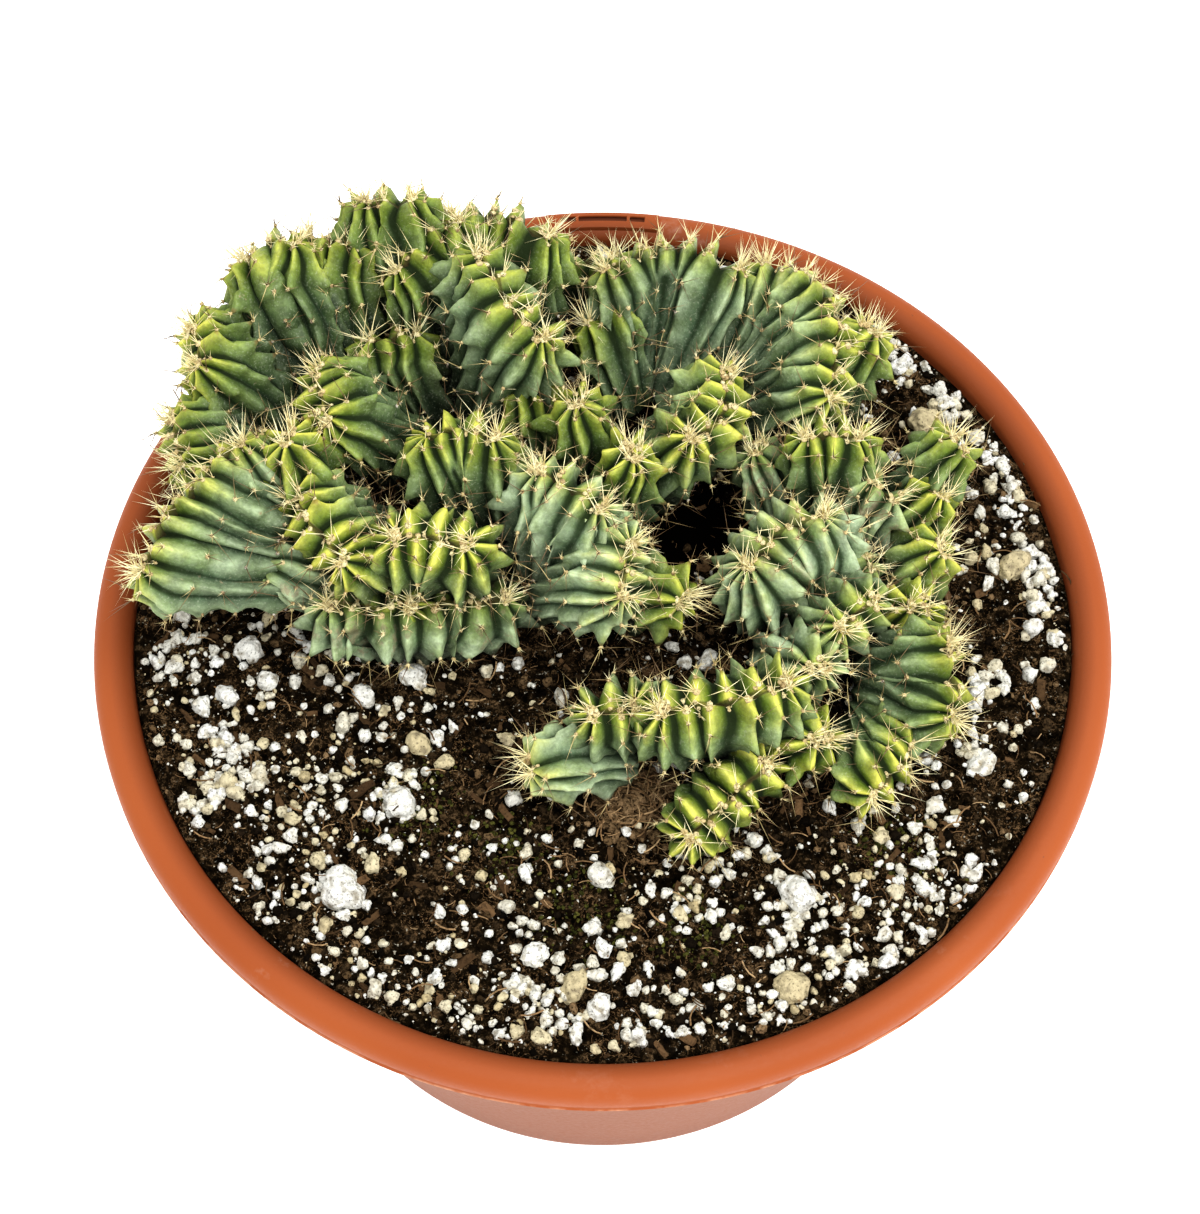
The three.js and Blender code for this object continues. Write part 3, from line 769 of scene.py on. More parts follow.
def toothSpines(place, aimOut, normal, row):
    s = spineSizes
    reach = s["shortReach"] if row < 2 else s["oldReach"]
    for k in range(rng.integers(6, 9)):
        aim = unit(aimOut * 0.7 + rng.normal(0, 0.65, 3))
        if aim @ normal < 0.1:
            aim = unit(aim + normal * 0.7)
        if k < 4 - row // 2 and rng.random() < 0.5:  # a long dark one
            tint = rng.choice((0.4, 0.52, 0.58, 0.64))
            yield place - aim * 0.3, aim, between(s["thinReach"]), s["thinWidth"], tint
            continue
        tint = 0.45 * rng.random() if row < 2 else 0.1 + 0.9 * rng.random() ** 1.5
        yield place - aim * 0.3, aim, between(reach), s["shortWidth"], tint


def gatherAreoles(crest, own):
    cushions, spines = [], []
    normals = crest["grid"]["push"]
    ages = crest["grid"]["age"]
    for half in range(crest["ribs"] * 2):  # on each finger, and on about half the grooves
        column = half * crestSizes["samplesPerRib"] // 2
        top = int(np.argmin(np.abs(ages[:, column] - 1.0 - 1.2 * rng.random())))
        place, up, along = (crest[key][top, column] for key in ("skin", "up", "along"))
        if (half % 2 and rng.random() < 0.5) or buried(place, own):
            continue
        out = unit(normals[top, column] - up * 0.6)
        atEnd = crest["u"][top, column] in (0, 1)
        count = rng.integers(2, 5) if atEnd else rng.choice((1, 2, 3, 5))
        cushions.append((place, up, between(spineSizes["lineAreole"]), 0.35 * rng.random()))
        middle = crest["skin"][-1, column] + rng.normal(0, 0.3, 3)  # wool in the seam itself
        cushions.append((middle, up, between(spineSizes["seamWool"]), 0.5 * rng.random()))
        spines += lineSpines(place, up, out, along, 1 if half % 2 else count,
                             spineSizes["endReach" if atEnd else "longReach"])
    for level, column, row in crest["teeth"]:
        place, normal = crest["skin"][level, column], normals[level, column]
        if place[2] < crestSizes["lowest"] or buried(place, own):
            continue
        aimOut = unit(normal + crest["up"][level, column] * 0.35)
        tint = 0.1 + 0.4 * rng.random() if row < 2 else 0.3 + 0.7 * rng.random()
        size = (1.1 if row < 2 else 0.9) * (0.8 + 0.35 * rng.random())
        cushions.append((place - normal * 0.15, aimOut, size * spineSizes["areole"], tint))
        spines += toothSpines(place, aimOut, normal, row)
    return cushions, spines


# Spines and wool read one tint: pale when young, then brown to near black, grey when old.
def spineMaterial():
    f = Finish("spineHorn", Roughness=0.4, Specular_IOR_Level=0.45)
    colour = f.ramp(f.attribute("tint"), (0.0, (0.97, 0.91, 0.58)), (0.35, (0.80, 0.66, 0.32)),
                    (0.55, (0.14, 0.080, 0.034)), (0.7, (0.20, 0.130, 0.070)),
                    (1.0, (0.36, 0.33, 0.28)))
    stain = f.span(f.noise(500), 0.58, 0.78)
    f.feed("Base Color", f.mix(colour, (0.17, 0.115, 0.03), stain * 0.4))
    return f.material


def woolMaterial():
    f = Finish("areoleWool", Roughness=0.95)
    colour = f.ramp(f.attribute("tint"), (0.0, (0.80, 0.71, 0.42)), (0.35, (0.58, 0.45, 0.22)),
                    (0.6, (0.33, 0.23, 0.12)), (1.0, (0.50, 0.47, 0.40)))
    speck = f.noise(1900, 2, 0.7)
    f.feed("Base Color", f.mix(colour, (0.105, 0.062, 0.018), f.span(speck, 0.50, 0.64) * 0.8))
    f.bump(speck, 0.0004)
    return f.material


# Slim cones standing on points, each along its own aim.
def spineTree(material):
    g = Growth("spines", "Sides")
    cone = g.node("GeometryNodeMeshCone", {
        "Vertices": g.given("Sides"), "Radius Top": 0.0, "Radius Bottom": 1.0, "Depth": 1.0},
        fill_type="NGON")
    width = g.named("width")
    placed = g.standing(cone, g.alongAim(), g.sized(width, width, g.named("reach")))
    return g.finish(placed, material)


grainInputs = ("Flatness", "Roughness", "Grain")


# Pushes placed grains in and out by noise whose patches follow each grain's own size.
def roughen(g, placed, material, soft):
    whole = g.node("GeometryNodeRealizeInstances", {0: placed})
    width = g.named("width")
    spot = g.scaled(g.node("GeometryNodeInputPosition"), 1.0 / width)
    bumps = g.node("ShaderNodeTexNoise", {
        "Vector": spot, "Scale": g.given("Grain"), "Detail": 2.0, "Roughness": 0.7})
    push = g.scaled(g.node("GeometryNodeInputNormal"),
                    (bumps - 0.5) * g.given("Roughness") * width)
    moved = g.node("GeometryNodeSetPosition", {0: whole, "Offset": push})
    return g.finish(moved, material, soft)


def cushionTree(material):
    g = Growth("cushions", *grainInputs)
    ball = g.node("GeometryNodeMeshIcoSphere", {"Radius": 1.0, "Subdivisions": 1})
    width = g.named("width")
    flat = g.sized(width, width, width * g.given("Flatness"))
    return roughen(g, g.standing(ball, g.alongAim(), flat), material, True)


def pointPiece(name, rows, fields):  # one point for each row, its numbers as attributes
    columns = dict(zip(("place", *fields), zip(*rows)))
    place = np.array(columns.pop("place"))
    scaled = {key: np.array(values, float) * (mm if key in ("reach", "width") else 1)
              for key, values in columns.items()}
    return meshObject(name, place, [], scaled)


spineRows, cushionRows = [], []
for own, crest in enumerate(everyCrest):
    cushions, spines = gatherAreoles(crest, own)
    cushionRows += cushions
    spineRows += spines
horn = spineTree(spineMaterial())
longOnes = [row for row in spineRows if row[3] == spineSizes["longWidth"]]
shortOnes = [row for row in spineRows if row[3] != spineSizes["longWidth"]]
for name, rows, sides in (("longSpines", longOnes, 5.0), ("shortSpines", shortOnes, 3.0)):
    piece = pointPiece(name, rows, ("aim", "reach", "width", "tint"))
    horn.run(piece, Sides=sides, Seed=3)
    settle(piece, slot="cactus_skin")
    print(name, len(rows))
areoles = pointPiece("areoles", cushionRows, ("aim", "width", "tint"))
cushionTree(woolMaterial()).run(areoles, Flatness=0.6, Roughness=0.7, Grain=1.3, Seed=5)
settle(areoles, slot="cactus_skin")
print("areoles", len(cushionRows))


# The bowl

bowlSizes = {
    "rimRadius": 127.0,
    "height": 150.0,
    "footRadius": 85.0,
    "wall": 2.4,
    "floor": 3.4,
    "lipWidth": 10.0,
    "lipHeight": 8.5,
    "heel": 3.5,  # height of the rounded edge of the foot
    "around": 240,
    "panel": (30.0, 5.4, 2.6),  # length, depth and height of the label panel
    "panelInset": 5.0,
    "panelSink": 0.7,
    "slot": (22.5, 1.7, 2.2),
    "slotShift": 0.4,
    "webs": (4.0, 0.8),  # from an end of the slot to its web, and the web's width
    "drainCircle": 52.0,
    "drainRadius": 6.0,
    "drainHoles": 4,
}


def rounded(points, radius, steps=5):  # rounds the corners of an open outline
    points = [np.array(p, float) for p in points]
    out = [points[0]]
    for a, b, c in zip(points, points[1:], points[2:]):
        cut = min(radius, np.linalg.norm(a - b) * 0.45, np.linalg.norm(c - b) * 0.45)
        p, q = b + unit(a - b) * cut, b + unit(c - b) * cut
        for k in range(steps + 1):
            t = k / steps
            out.append((1 - t) ** 2 * p + 2 * t * (1 - t) * b + t ** 2 * q)
    return out + [points[-1]]


def bowlOutline():
    b = bowlSizes
    lip, top, foot, heel = b["rimRadius"], b["height"], b["footRadius"], b["heel"]
    mouth, wallTop, neck = lip - b["lipWidth"], top - b["lipHeight"], top - 5
    wallAt = lambda z: foot + (mouth + b["wall"] - foot) * z / wallTop
    flat = 62  # radius of a ring on the flat floor
    outside = rounded([
        (flat, 0), (foot - 4, 0), (wallAt(heel), heel), (wallAt(wallTop - 2), wallTop - 2),
        (mouth + b["wall"] + 0.5, top - 4), (lip - 2.6, top - 4), (lip - 1.9, wallTop + 0.4)], 1.6)
    rim = rounded([
        (lip - 1.9, wallTop + 0.4), (lip - 1.5, wallTop), (lip - 0.3, wallTop),
        (lip - 0.1, wallTop + 0.35), (lip - 0.6, wallTop + 0.9), (lip, wallTop + 3.6),
        (lip - 0.6, top - 2.2), (lip - 2.6, top - 0.45), (lip - 5.4, top),
        (mouth + 2.2, top - 0.7), (mouth + 0.4, top - 2.4), (mouth, neck)], 1.4, 4)
    inside = rounded([(mouth, neck), (wallAt(heel) - b["wall"], b["floor"]), (flat, b["floor"])], 3)
    return [(0.0, 0.0)] + outside + rim[1:] + inside[1:] + [(0.0, b["floor"])]


def evened(outline, step=12, least=0.05):  # long straight runs get more points
    fine = [np.array(outline[0])]
    for p in outline[1:]:
        p = np.array(p)
        far = np.linalg.norm(p - fine[-1])
        if far < least:
            continue
        start, parts = fine[-1], max(1, int(far / step))
        fine += [start + (p - start) * (k + 1) / parts for k in range(parts)]
    return np.array(fine)


def makeBowl():
    b = bowlSizes
    outline = evened(bowlOutline())
    turns = np.arange(b["around"]) / b["around"] * 2 * math.pi
    rings = outline[1:-1]
    x = rings[:, None, 0] * np.sin(turns)
    y = -rings[:, None, 0] * np.cos(turns)
    z = np.broadcast_to(rings[:, None, 1], x.shape)
    vertices = np.stack([x, y, z], -1).reshape(-1, 3)
    poles = [[0, 0, outline[0][1]], [0, 0, outline[-1][1]]]
    n, count = b["around"], len(rings)
    faces = ringFaces(count, n).tolist()
    faces += fanFaces(count * n, 0, n, True) + fanFaces(count * n + 1, (count - 1) * n, n)
    bowl = meshObject("bowl", np.vstack([vertices, poles]), faces)
    for k in range(b["drainHoles"]):
        a = (k + 0.5) / b["drainHoles"] * 2 * math.pi
        r = b["drainCircle"] * mm
        bpy.ops.mesh.primitive_cylinder_add(
            vertices=32, radius=b["drainRadius"] * mm, depth=0.02,
            location=(r * math.cos(a), r * math.sin(a), 0))
        punch = bpy.context.object
        cut = bowl.modifiers.new("drain", "BOOLEAN")
        cut.object, cut.operation, cut.solver = punch, "DIFFERENCE", "EXACT"
        applyModifier(bowl, cut)
        bpy.data.objects.remove(punch)
    return softEdges(bowl, 38)


def applyModifier(piece, modifier):
    bpy.context.view_layer.objects.active = piece
    bpy.ops.object.modifier_apply(modifier=modifier.name)


def softEdges(piece, degrees):
    smoothFaces(piece.data)
    piece.data.set_sharp_from_angle(angle=math.radians(degrees))
    return piece


# The raised panel bends with the rim; its slot is a real recess with two small webs.
def makePanel():
    b = bowlSizes
    long, deep, tall = b["panel"]
    slotLong, slotWide, slotDeep = b["slot"]
    webPlace, web = b["webs"]
    bm = bmesh.new()
    inner, near = slotLong / 2 - webPlace, b["slotShift"]
    xs = [-long / 2, -slotLong / 2, -inner, web - inner, inner - web, inner, slotLong / 2,
          long / 2]
    ys = [-deep / 2, near - slotWide / 2, near + slotWide / 2, deep / 2]
    grid = [[bm.verts.new((x, y, tall / 2)) for y in ys] for x in xs]
    recess = []
    for i in range(len(xs) - 1):
        for k in range(len(ys) - 1):
            face = bm.faces.new((grid[i][k], grid[i + 1][k], grid[i + 1][k + 1], grid[i][k + 1]))
            if k == 1 and i in (1, 3, 5):
                recess.append(face)
    for face in recess:
        made = bmesh.ops.extrude_face_region(bm, geom=[face])
        lower = [v for v in made["geom"] if isinstance(v, bmesh.types.BMVert)]
        bmesh.ops.translate(bm, verts=lower, vec=(0, 0, -slotDeep))
        bm.faces.remove(face)
    made = bmesh.ops.extrude_edge_only(bm, edges=[e for e in bm.edges if e.is_boundary])
    lower = [v for v in made["geom"] if isinstance(v, bmesh.types.BMVert)]
    bmesh.ops.translate(bm, verts=lower, vec=(0, 0, -tall))
    wide = [e for e in bm.edges if abs(e.verts[0].co.x - e.verts[1].co.x) > 3]
    bmesh.ops.subdivide_edges(bm, edges=wide, cuts=4, use_grid_fill=True)
    bmesh.ops.recalc_face_normals(bm, faces=bm.faces)
    middle = b["rimRadius"] - b["panelInset"]
    for v in bm.verts:
        turn = v.co.x / middle
        r = middle + v.co.y
        z = v.co.z + b["height"] - b["panelSink"]
        if v.co.z > 0:
            z += 0.1 - 0.5 * max(0, (v.co.y - 0.6) / 2.1) ** 2
        v.co = Vector((r * math.sin(turn), r * math.cos(turn), z)) * mm
    panel = meshObject("labelPanel", [(0, 0, 0)], [])
    bm.to_mesh(panel.data)
    bm.free()
    bevel = panel.modifiers.new("edges", "BEVEL")
    bevel.width, bevel.segments, bevel.limit_method = 0.25 * mm, 3, "ANGLE"
    applyModifier(panel, bevel)
    return softEdges(panel, 40)


def bowlMaterial():
    f = Finish("terracottaPlastic", Specular_IOR_Level=0.2)
    b = bowlSizes
    slotLong, slotWide, _ = (size * mm for size in b["slot"])
    top, lipFoot = b["height"] * mm, (b["height"] - b["lipHeight"]) * mm
    x, y, z = (f.node("ShaderNodeSeparateXYZ", {0: f.place}, out=k) for k in range(3))
    far = f.vectors("LENGTH", f.vectors("MULTIPLY", f.place, (1, 1, 0)), out=1)
    broad = f.noise(14, 2, 0.5)
    grain = f.noise(900, 2, 0.6)
    colour = f.mix((0.355, 0.086, 0.021), (0.412, 0.107, 0.028), f.span(broad, 0.35, 0.65))
    colour = f.mix(colour, (0.300, 0.110, 0.034), f.span(z, 0.135, 0.080) * 0.75)  # duller body
    # Partly soil stain and partly painted shade: the inner wall darkens just above the soil.
    soilStainAndShade = f.span(far, 0.1225, 0.1172) * f.span(z, 0.125, 0.135)
    colour = f.mix(colour, (0.130, 0.036, 0.012), soilStainAndShade * 0.65)  # inner wall, by the soil
    # Painted shade: the rim darkens towards its inner edge and on down the inner wall.
    colour = f.mix(colour, (0.150, 0.036, 0.010), f.span(far, 0.131, 0.118) * 0.6)
    worn = f.span(z, lipFoot - 0.0007, lipFoot - 0.0001)
    worn = worn * f.span(z, lipFoot + 0.0009, lipFoot + 0.0005)
    worn = worn * f.span(f.noise(160, 3, 0.6, seed=9.0), 0.40, 0.60)
    colour = f.mix(colour, (0.640, 0.360, 0.230), worn * 0.6)  # lower edge of the rim
    # Painted shade: the inside of the label slot's recess is darkened.
    slotAt = (b["rimRadius"] - b["panelInset"] + b["slotShift"]) * mm
    slot = f.span((far - slotAt).maths("ABSOLUTE"), slotWide * 0.6, slotWide * 0.5)
    slot = slot * f.span(x.maths("ABSOLUTE"), slotLong * 0.53, slotLong * 0.5)
    slot = slot * f.span(y, 0.0, 0.01) * f.span(z, top + 0.0003, top - 0.0003)
    colour = f.mix(colour, (0.030, 0.008, 0.004), slot)  # the dark inside of the label slot
    dust = f.span(f.noise(75, 5, 0.7, seed=4.0), 0.60, 0.74)
    dust = dust * f.span(f.noise(9, 2, 0.5, seed=2.0), 0.52, 0.66)
    colour = f.mix(colour, (0.62, 0.50, 0.42), dust * 0.35)
    specks = f.span(f.noise(520, 3, 0.6, seed=6.0), 0.71, 0.76) * f.span(z, 0.137, 0.146)
    colour = f.mix(colour, (0.10, 0.05, 0.03), specks * 0.6)
    f.feed("Base Color", colour)
    f.feed("Roughness", f.span(grain, 0.3, 0.7, 0.50, 0.60) + dust * 0.3)
    lines = f.noise(60, 2, 0.5, stretch=(0.15, 0.15, 9.0))
    f.bump(grain * 0.4 + lines * 0.6, 0.0003, 0.35)
    return f.material


plastic = bowlMaterial()
for piece in (makeBowl(), makePanel()):
    piece.data.materials.append(plastic)
    settle(piece, "pot", slot="bowl_plastic")
print("bowl and label panel made")


# The soil bed and what lies in it

soilSizes = {
    "level": 146.0,
    "radius": 116.75,
    "underside": 128.0,
    "relief": 0.5,  # mm, the gentle waves that the solid has too
    "around": 350,
    "rings": 118,
    "clods": 1.8,  # mm that clods stand up or lie deep
    "clodSize": 8,  # mm across
    "grit": 0.7,
    "gritSize": 2.4,
    "coirHeight": 3.0,
    "coirSpread": 8,
    "strewn": 115.5,  # radius in which loose pieces fall
    "wall": 116.3,  # radius that none of them passes
    "perlite": 1230,
    "perliteSize": (1.5, 5.8),
    "clumpSize": 2.9,  # larger grains are clumps
    "cadLumps": 34,  # how many grains are in the solids too
    "heapGrains": 15,
    "heapSpread": 6,
    "heapSizes": (1.0, 4.8),
    "largeHeaps": 12,  # that many of the heaps, those on the right, have larger grains too
    "largeSizes": (1.0, 6.2),
    "dust": 1700,
    "dustSize": (0.5, 1.6),
    "crumbs": 3400,
    "crumbSize": (0.3, 1.7),
    "chips": 420,
    "chipSize": (0.7, 3.0),
    "fibres": 3300,
    "fibreSize": (1.2, 6.0),
    "moss": 140,  # crumbs in each patch
    "mossSize": (0.25, 0.8),
    "coir": (420, 300),  # crumbs and fibres on the brown lump
    "coirCrumb": (0.5, 1.6),
    "coirFibre": (2.0, 5.0),
    "shadedHollow": (21, 28, 15),  # x, y, size of the dark gap amid the crests
}

# The largest lumps of perlite: x, y, size in mm.
lumps = [
    (-62, -74, 13), (-7, -98, 8), (-1, -103, 8), (-16, -90, 7), (-49, -51, 8),
    (-59, -21, 7), (-47, -15, 7), (46, -75, 9), (44, -98, 9), (92, -40, 7),
    (84, 58, 10), (104, 16, 8), (-88, -8, 7), (-83, -17, 6), (-45, -34, 6),
]
pumice = (1, 8, 10, 11, 14)  # which lumps are yellowish
coirLump = (7, -51, 6)  # the brown lump of coir: x, y, spread
perliteHeaps = [  # where small grains lie in a heap: x, y
    (78, 80), (82, 74), (93, 63), (99, 48), (104, 44), (107, 37), (110, 16), (113, 7),
    (112, -7), (96, -17), (78, -30), (90, -19), (87, -38), (29, -63), (39, -66), (44, -80),
    (-10, -104), (9, -107), (-19, -101), (-108, -5), (-97, -49), (-95, -33), (-65, -70),
    (-49, -47), (-87, -41), (21, -76), (58, -94), (70, -87),
]
mossPatches = [  # x, y, spread
    (-44, -52, 9), (-4, -78, 10), (22, -84, 9), (-22, -62, 8), (68, -62, 9),
]


def soilHeight(x, y):
    s = soilSizes
    z = s["level"] - 0.5 + s["relief"] * np.sin(x * 0.11 + 1.3) * np.cos(y * 0.09)
    return z + s["relief"] * 0.5 * np.sin(x * 0.23 + y * 0.19)


def soilRelief(x, y):  # the clods, on top of the bed's own gentle shape
    flat = np.stack([x, y, 0 * x], -1)
    clods = soilSizes["clods"] * cloud(flat, soilSizes["clodSize"], 5, 3) * 0.7
    grit = soilSizes["grit"] * np.abs(cloud(flat, soilSizes["gritSize"], 6, 2))
    lump = np.exp(-((x - coirLump[0]) ** 2 + (y - coirLump[1]) ** 2) / coirLump[2] ** 2)
    return clods + grit + soilSizes["coirHeight"] * lump


def makeSoil():
    s = soilSizes
    radii = s["radius"] * np.linspace(0.004, 1, s["rings"]) ** 0.75  # closer further out
    turns = np.arange(s["around"]) / s["around"] * 2 * math.pi
    x, y = radii[:, None] * np.cos(turns), radii[:, None] * np.sin(turns)
    edge = smooth((s["radius"] - radii) / 4)[:, None]
    z = soilHeight(x, y) + soilRelief(x, y) * (0.35 + 0.65 * edge)
    top = np.stack([x, y, z], -1).reshape(-1, 3)
    n, rings = s["around"], s["rings"]
    skirt = np.stack([x[-1] * 0.975, y[-1] * 0.975, np.full(n, s["underside"])], -1)
    centre = [[0, 0, z[0].mean()], [0, 0, s["underside"]]]
    faces = ringFaces(rings + 1, n)[:, [0, 3, 2, 1]].tolist()
    last = len(top) + n
    faces += fanFaces(last, 0, n) + fanFaces(last + 1, rings * n, n, True)
    return meshObject("soilBed", np.vstack([top, skirt, centre]), faces)


def peatMaterial():
    f = Finish("peat", Specular_IOR_Level=0.0)
    clod, grit = f.noise(330, 5, 0.7), f.noise(1500, 3, 0.7, seed=2.0)
    colour = f.mix((0.0012, 0.0008, 0.0004), (0.015, 0.010, 0.005), f.span(clod, 0.36, 0.60))
    brown = f.mix((0.024, 0.015, 0.007), (0.165, 0.108, 0.058), f.span(grit, 0.40, 0.65))
    colour = f.mix(colour, brown, f.span(clod, 0.53, 0.63))
    matted = f.span(f.noise(95, 3, 0.6, seed=31.0), 0.44, 0.60)
    for scale, seed in ((150, 21.0), (260, 24.0), (420, 27.0)):  # thin curly fibres
        curl = (f.noise(scale, 3, 0.55, seed=seed) - 0.5).maths("ABSOLUTE")
        fibre = f.span(curl, 0.010, 0.003) * f.span(grit, 0.40, 0.58) * matted
        colour = f.mix(colour, (0.260, 0.160, 0.080), fibre * 0.85)
    chalk = f.span(f.noise(850, 3, 0.6, seed=34.0), 0.645, 0.70)
    colour = f.mix(colour, (0.420, 0.390, 0.310), chalk * 0.8)
    # Painted shade: the soil goes near black in the hollow amid the crests.
    x, y, size = (v * mm for v in soilSizes["shadedHollow"])
    away = f.vectors("DISTANCE", f.place, (x, y, soilSizes["level"] * mm), out=1)
    colour = f.mix((0.0015, 0.0010, 0.0006), colour, f.span(away, size * 0.8, size * 1.4))
    f.feed("Base Color", colour)
    f.feed("Roughness", f.span(grit, 0.3, 0.7, 0.80, 1.0))
    f.bump(clod * 0.6 + grit * 0.4, 0.0022)
    return f.material


# Crumbs of peat, from near black to brown, and of moss at the top of the range.
def crumbMaterial():
    f = Finish("peatCrumb", Specular_IOR_Level=0.05)
    colour = f.ramp(f.attribute("tint"), (0.0, (0.0030, 0.0020, 0.0010)),
                    (0.45, (0.020, 0.013, 0.007)), (0.75, (0.110, 0.070, 0.034)),
                    (0.9, (0.270, 0.180, 0.096)), (0.93, (0.030, 0.034, 0.008)),
                    (1.0, (0.110, 0.105, 0.026)))
    grit = f.noise(1300, 3, 0.7)
    f.feed("Base Color", f.mix(colour, (0.003, 0.002, 0.001), f.span(grit, 0.48, 0.62) * 0.85))
    f.feed("Roughness", f.span(grit, 0.3, 0.7, 0.75, 1.0))
    f.bump(grit, 0.0008)
    return f.material


# Perlite is blown up like popcorn: round cells with dirt in the gaps between them.
def perliteMaterial():
    f = Finish("perlite", Roughness=0.85, Specular_IOR_Level=0.2)
    cells = f.node("ShaderNodeTexVoronoi", {"Vector": f.place, "Scale": 620.0},
                   feature="SMOOTH_F1")
    pit, patch = f.noise(1700, 3, 0.65), f.noise(260, 4, 0.6, seed=3.0)
    colour = f.ramp(f.attribute("tint"), (0.0, (0.82, 0.82, 0.78)), (0.55, (0.72, 0.70, 0.61)),
                    (0.80, (0.64, 0.57, 0.38)), (1.0, (0.50, 0.41, 0.23)))
    gaps = f.span(cells + (pit - 0.5) * 0.3, 0.46, 0.75)
    colour = f.mix(colour, (0.20, 0.165, 0.105), gaps * 0.8)
    colour = f.mix(colour, (0.46, 0.38, 0.22), f.span(patch, 0.54, 0.72) * 0.6)
    colour = f.mix(colour, (0.045, 0.034, 0.018), f.span(pit, 0.57, 0.66) * 0.75)
    f.feed("Base Color", colour)
    f.bump(pit * 0.4 - cells, 0.0014)
    return f.material


def woodMaterial():
    f = Finish("barkAndFibre", Roughness=0.8, Specular_IOR_Level=0.1)
    colour = f.ramp(f.attribute("tint"), (0.0, (0.034, 0.019, 0.008)),
                    (0.5, (0.130, 0.076, 0.036)), (0.8, (0.290, 0.180, 0.088)),
                    (1.0, (0.500, 0.350, 0.190)))
    grain = f.noise(1100, 3, 0.7)
    f.feed("Base Color", f.mix(colour, (0.010, 0.006, 0.003), f.span(grain, 0.5, 0.7) * 0.7))
    f.bump(grain, 0.0005)
    return f.material


# Each shape lies squashed and turned at random.
def strewn(g, shape, turn, squash, material, soft=False):
    flat = g.sized(1.0, 1.0, g.given("Flatness"))
    size = g.vectors("MULTIPLY", g.random(*squash, step=1), flat)
    placed = g.standing(shape, turn, g.scaled(size, g.named("width")))
    return roughen(g, placed, material, soft)


# Lumpy grains: balls, or with lobes clumps of balls like popcorn.
def grainTree(name, material, detail, soft=False, lobes=()):
    g = Growth(name, *grainInputs)
    ball = g.node("GeometryNodeMeshIcoSphere", {"Radius": 1.0, "Subdivisions": detail})
    if lobes:
        bud = g.node("GeometryNodeMeshIcoSphere", {"Radius": 0.62, "Subdivisions": 1})
        buds = [g.node("GeometryNodeTransform", {0: bud, "Translation": at}) for at in lobes]
        ball = g.node("GeometryNodeJoinGeometry", {0: [ball, *buds]})
    squash = ((0.8, 0.6, 0.8), (1.2, 0.95, 1.2))
    return strewn(g, ball, g.spin(0.6, 0.6), squash, material, soft)


# Bark: thin slabs at all angles.
def chipTree(material):
    g = Growth("chips", *grainInputs)
    slab = g.node("GeometryNodeMeshCube", {
        "Size": (2.0, 0.9, 0.9), "Vertices X": 4, "Vertices Y": 3, "Vertices Z": 2})
    squash = ((0.7, 0.5, 0.6), (1.3, 1.0, 1.4))
    return strewn(g, slab, g.spin(0.7, 0.5), squash, material)


# Fibres: slim bent tubes lying on the soil, each with its own length and turn.
def fibreTree(material):
    g = Growth("fibres", "Bend", "Thickness")
    arc = g.node("GeometryNodeCurveArc", {"Resolution": 4, "Radius": 1.2,
                                          "Sweep Angle": g.given("Bend")}, mode="RADIUS")
    ring = g.node("GeometryNodeCurvePrimitiveCircle", {
        "Resolution": 3, "Radius": g.given("Thickness")}, mode="RADIUS")
    tube = g.node("GeometryNodeCurveToMesh", {
        "Curve": arc, "Profile Curve": ring, "Fill Caps": True})
    return g.finish(g.standing(tube, g.spin(0.5, 0.5), g.named("width")), material)


def outside(x, y):  # nothing lies in the dark gap amid the crests
    middleX, middleY, size = soilSizes["shadedHollow"]
    return smooth(np.hypot(x - middleX, y - middleY) / size - 0.1)


def crowding(x, y):  # perlite lies thicker along the right edge, in front and on the left
    r, a = np.hypot(x, y), np.arctan2(y, x)
    edge = np.clip((r - 80) / 26, 0, 1) * np.clip(np.cos(a - 0.1) * 1.2 + 0.3, 0, 0.8)
    low = np.clip((-y - 52) / 30, 0, 1) * 0.75
    left = np.clip((-x - 20) / 60, 0, 1) * np.clip((20 - y) / 40, 0, 1) * 0.9
    patches = 0.5 + 0.75 * cloud(np.stack([x, y, 0 * x], -1), 15, 31, 2)
    share = np.clip(0.16 + edge + low + left, 0, 1) * np.clip(patches, 0.08, 1)
    return share * outside(x, y)


def inBowl(r, size):  # whether a piece so far from the middle clears the wall
    return r + size * 0.55 < soilSizes["wall"]


# Scatters rows of x, y, size and tint by a fixed seed, thinned out by the weight of a place.
def sprinkle(count, seed, size, weight, apart=0.0, power=2.4):
    draw = np.random.default_rng(seed).random((count * 8, 5))
    r, a = soilSizes["strewn"] * np.sqrt(draw[:, 0]), draw[:, 1] * 2 * math.pi
    x, y = r * np.cos(a), r * np.sin(a)
    d = size[0] + (size[1] - size[0]) * draw[:, 2] ** power
    fits = inBowl(r, d) & (draw[:, 4] < weight(x, y))
    kept = np.zeros((0, 4))
    for row in np.stack([x, y, d, draw[:, 3]], -1)[fits]:
        gap = np.hypot(kept[:, 0] - row[0], kept[:, 1] - row[1])
        if not apart or (gap > apart * (kept[:, 2] + row[2])).all():
            kept = np.vstack([kept, row])
        if len(kept) == count:
            break
    return kept


def heap(count, seed, centre, size, tints):  # grains crowded round a spot
    draw = np.random.default_rng(seed)
    x = draw.normal(centre[0], centre[2] * 0.6, count)
    y = draw.normal(centre[1], centre[2] * 0.6, count)
    return np.stack([x, y, draw.uniform(*size, count), draw.uniform(*tints, count)], -1)


def seated(rows, scale, lift, depth=None):  # puts such rows on the soil
    x, y, size, tint = np.asarray(rows).T
    z = soilHeight(x, y) + soilRelief(x, y) + size * lift
    places = np.stack([x, y, z], -1)
    inside = inBowl(np.hypot(x, y), size)
    return [(p, w * scale, t) for p, w, t, fits in zip(places, size, tint, inside)
            if fits and (depth is None or not buried(p, depth=depth))]


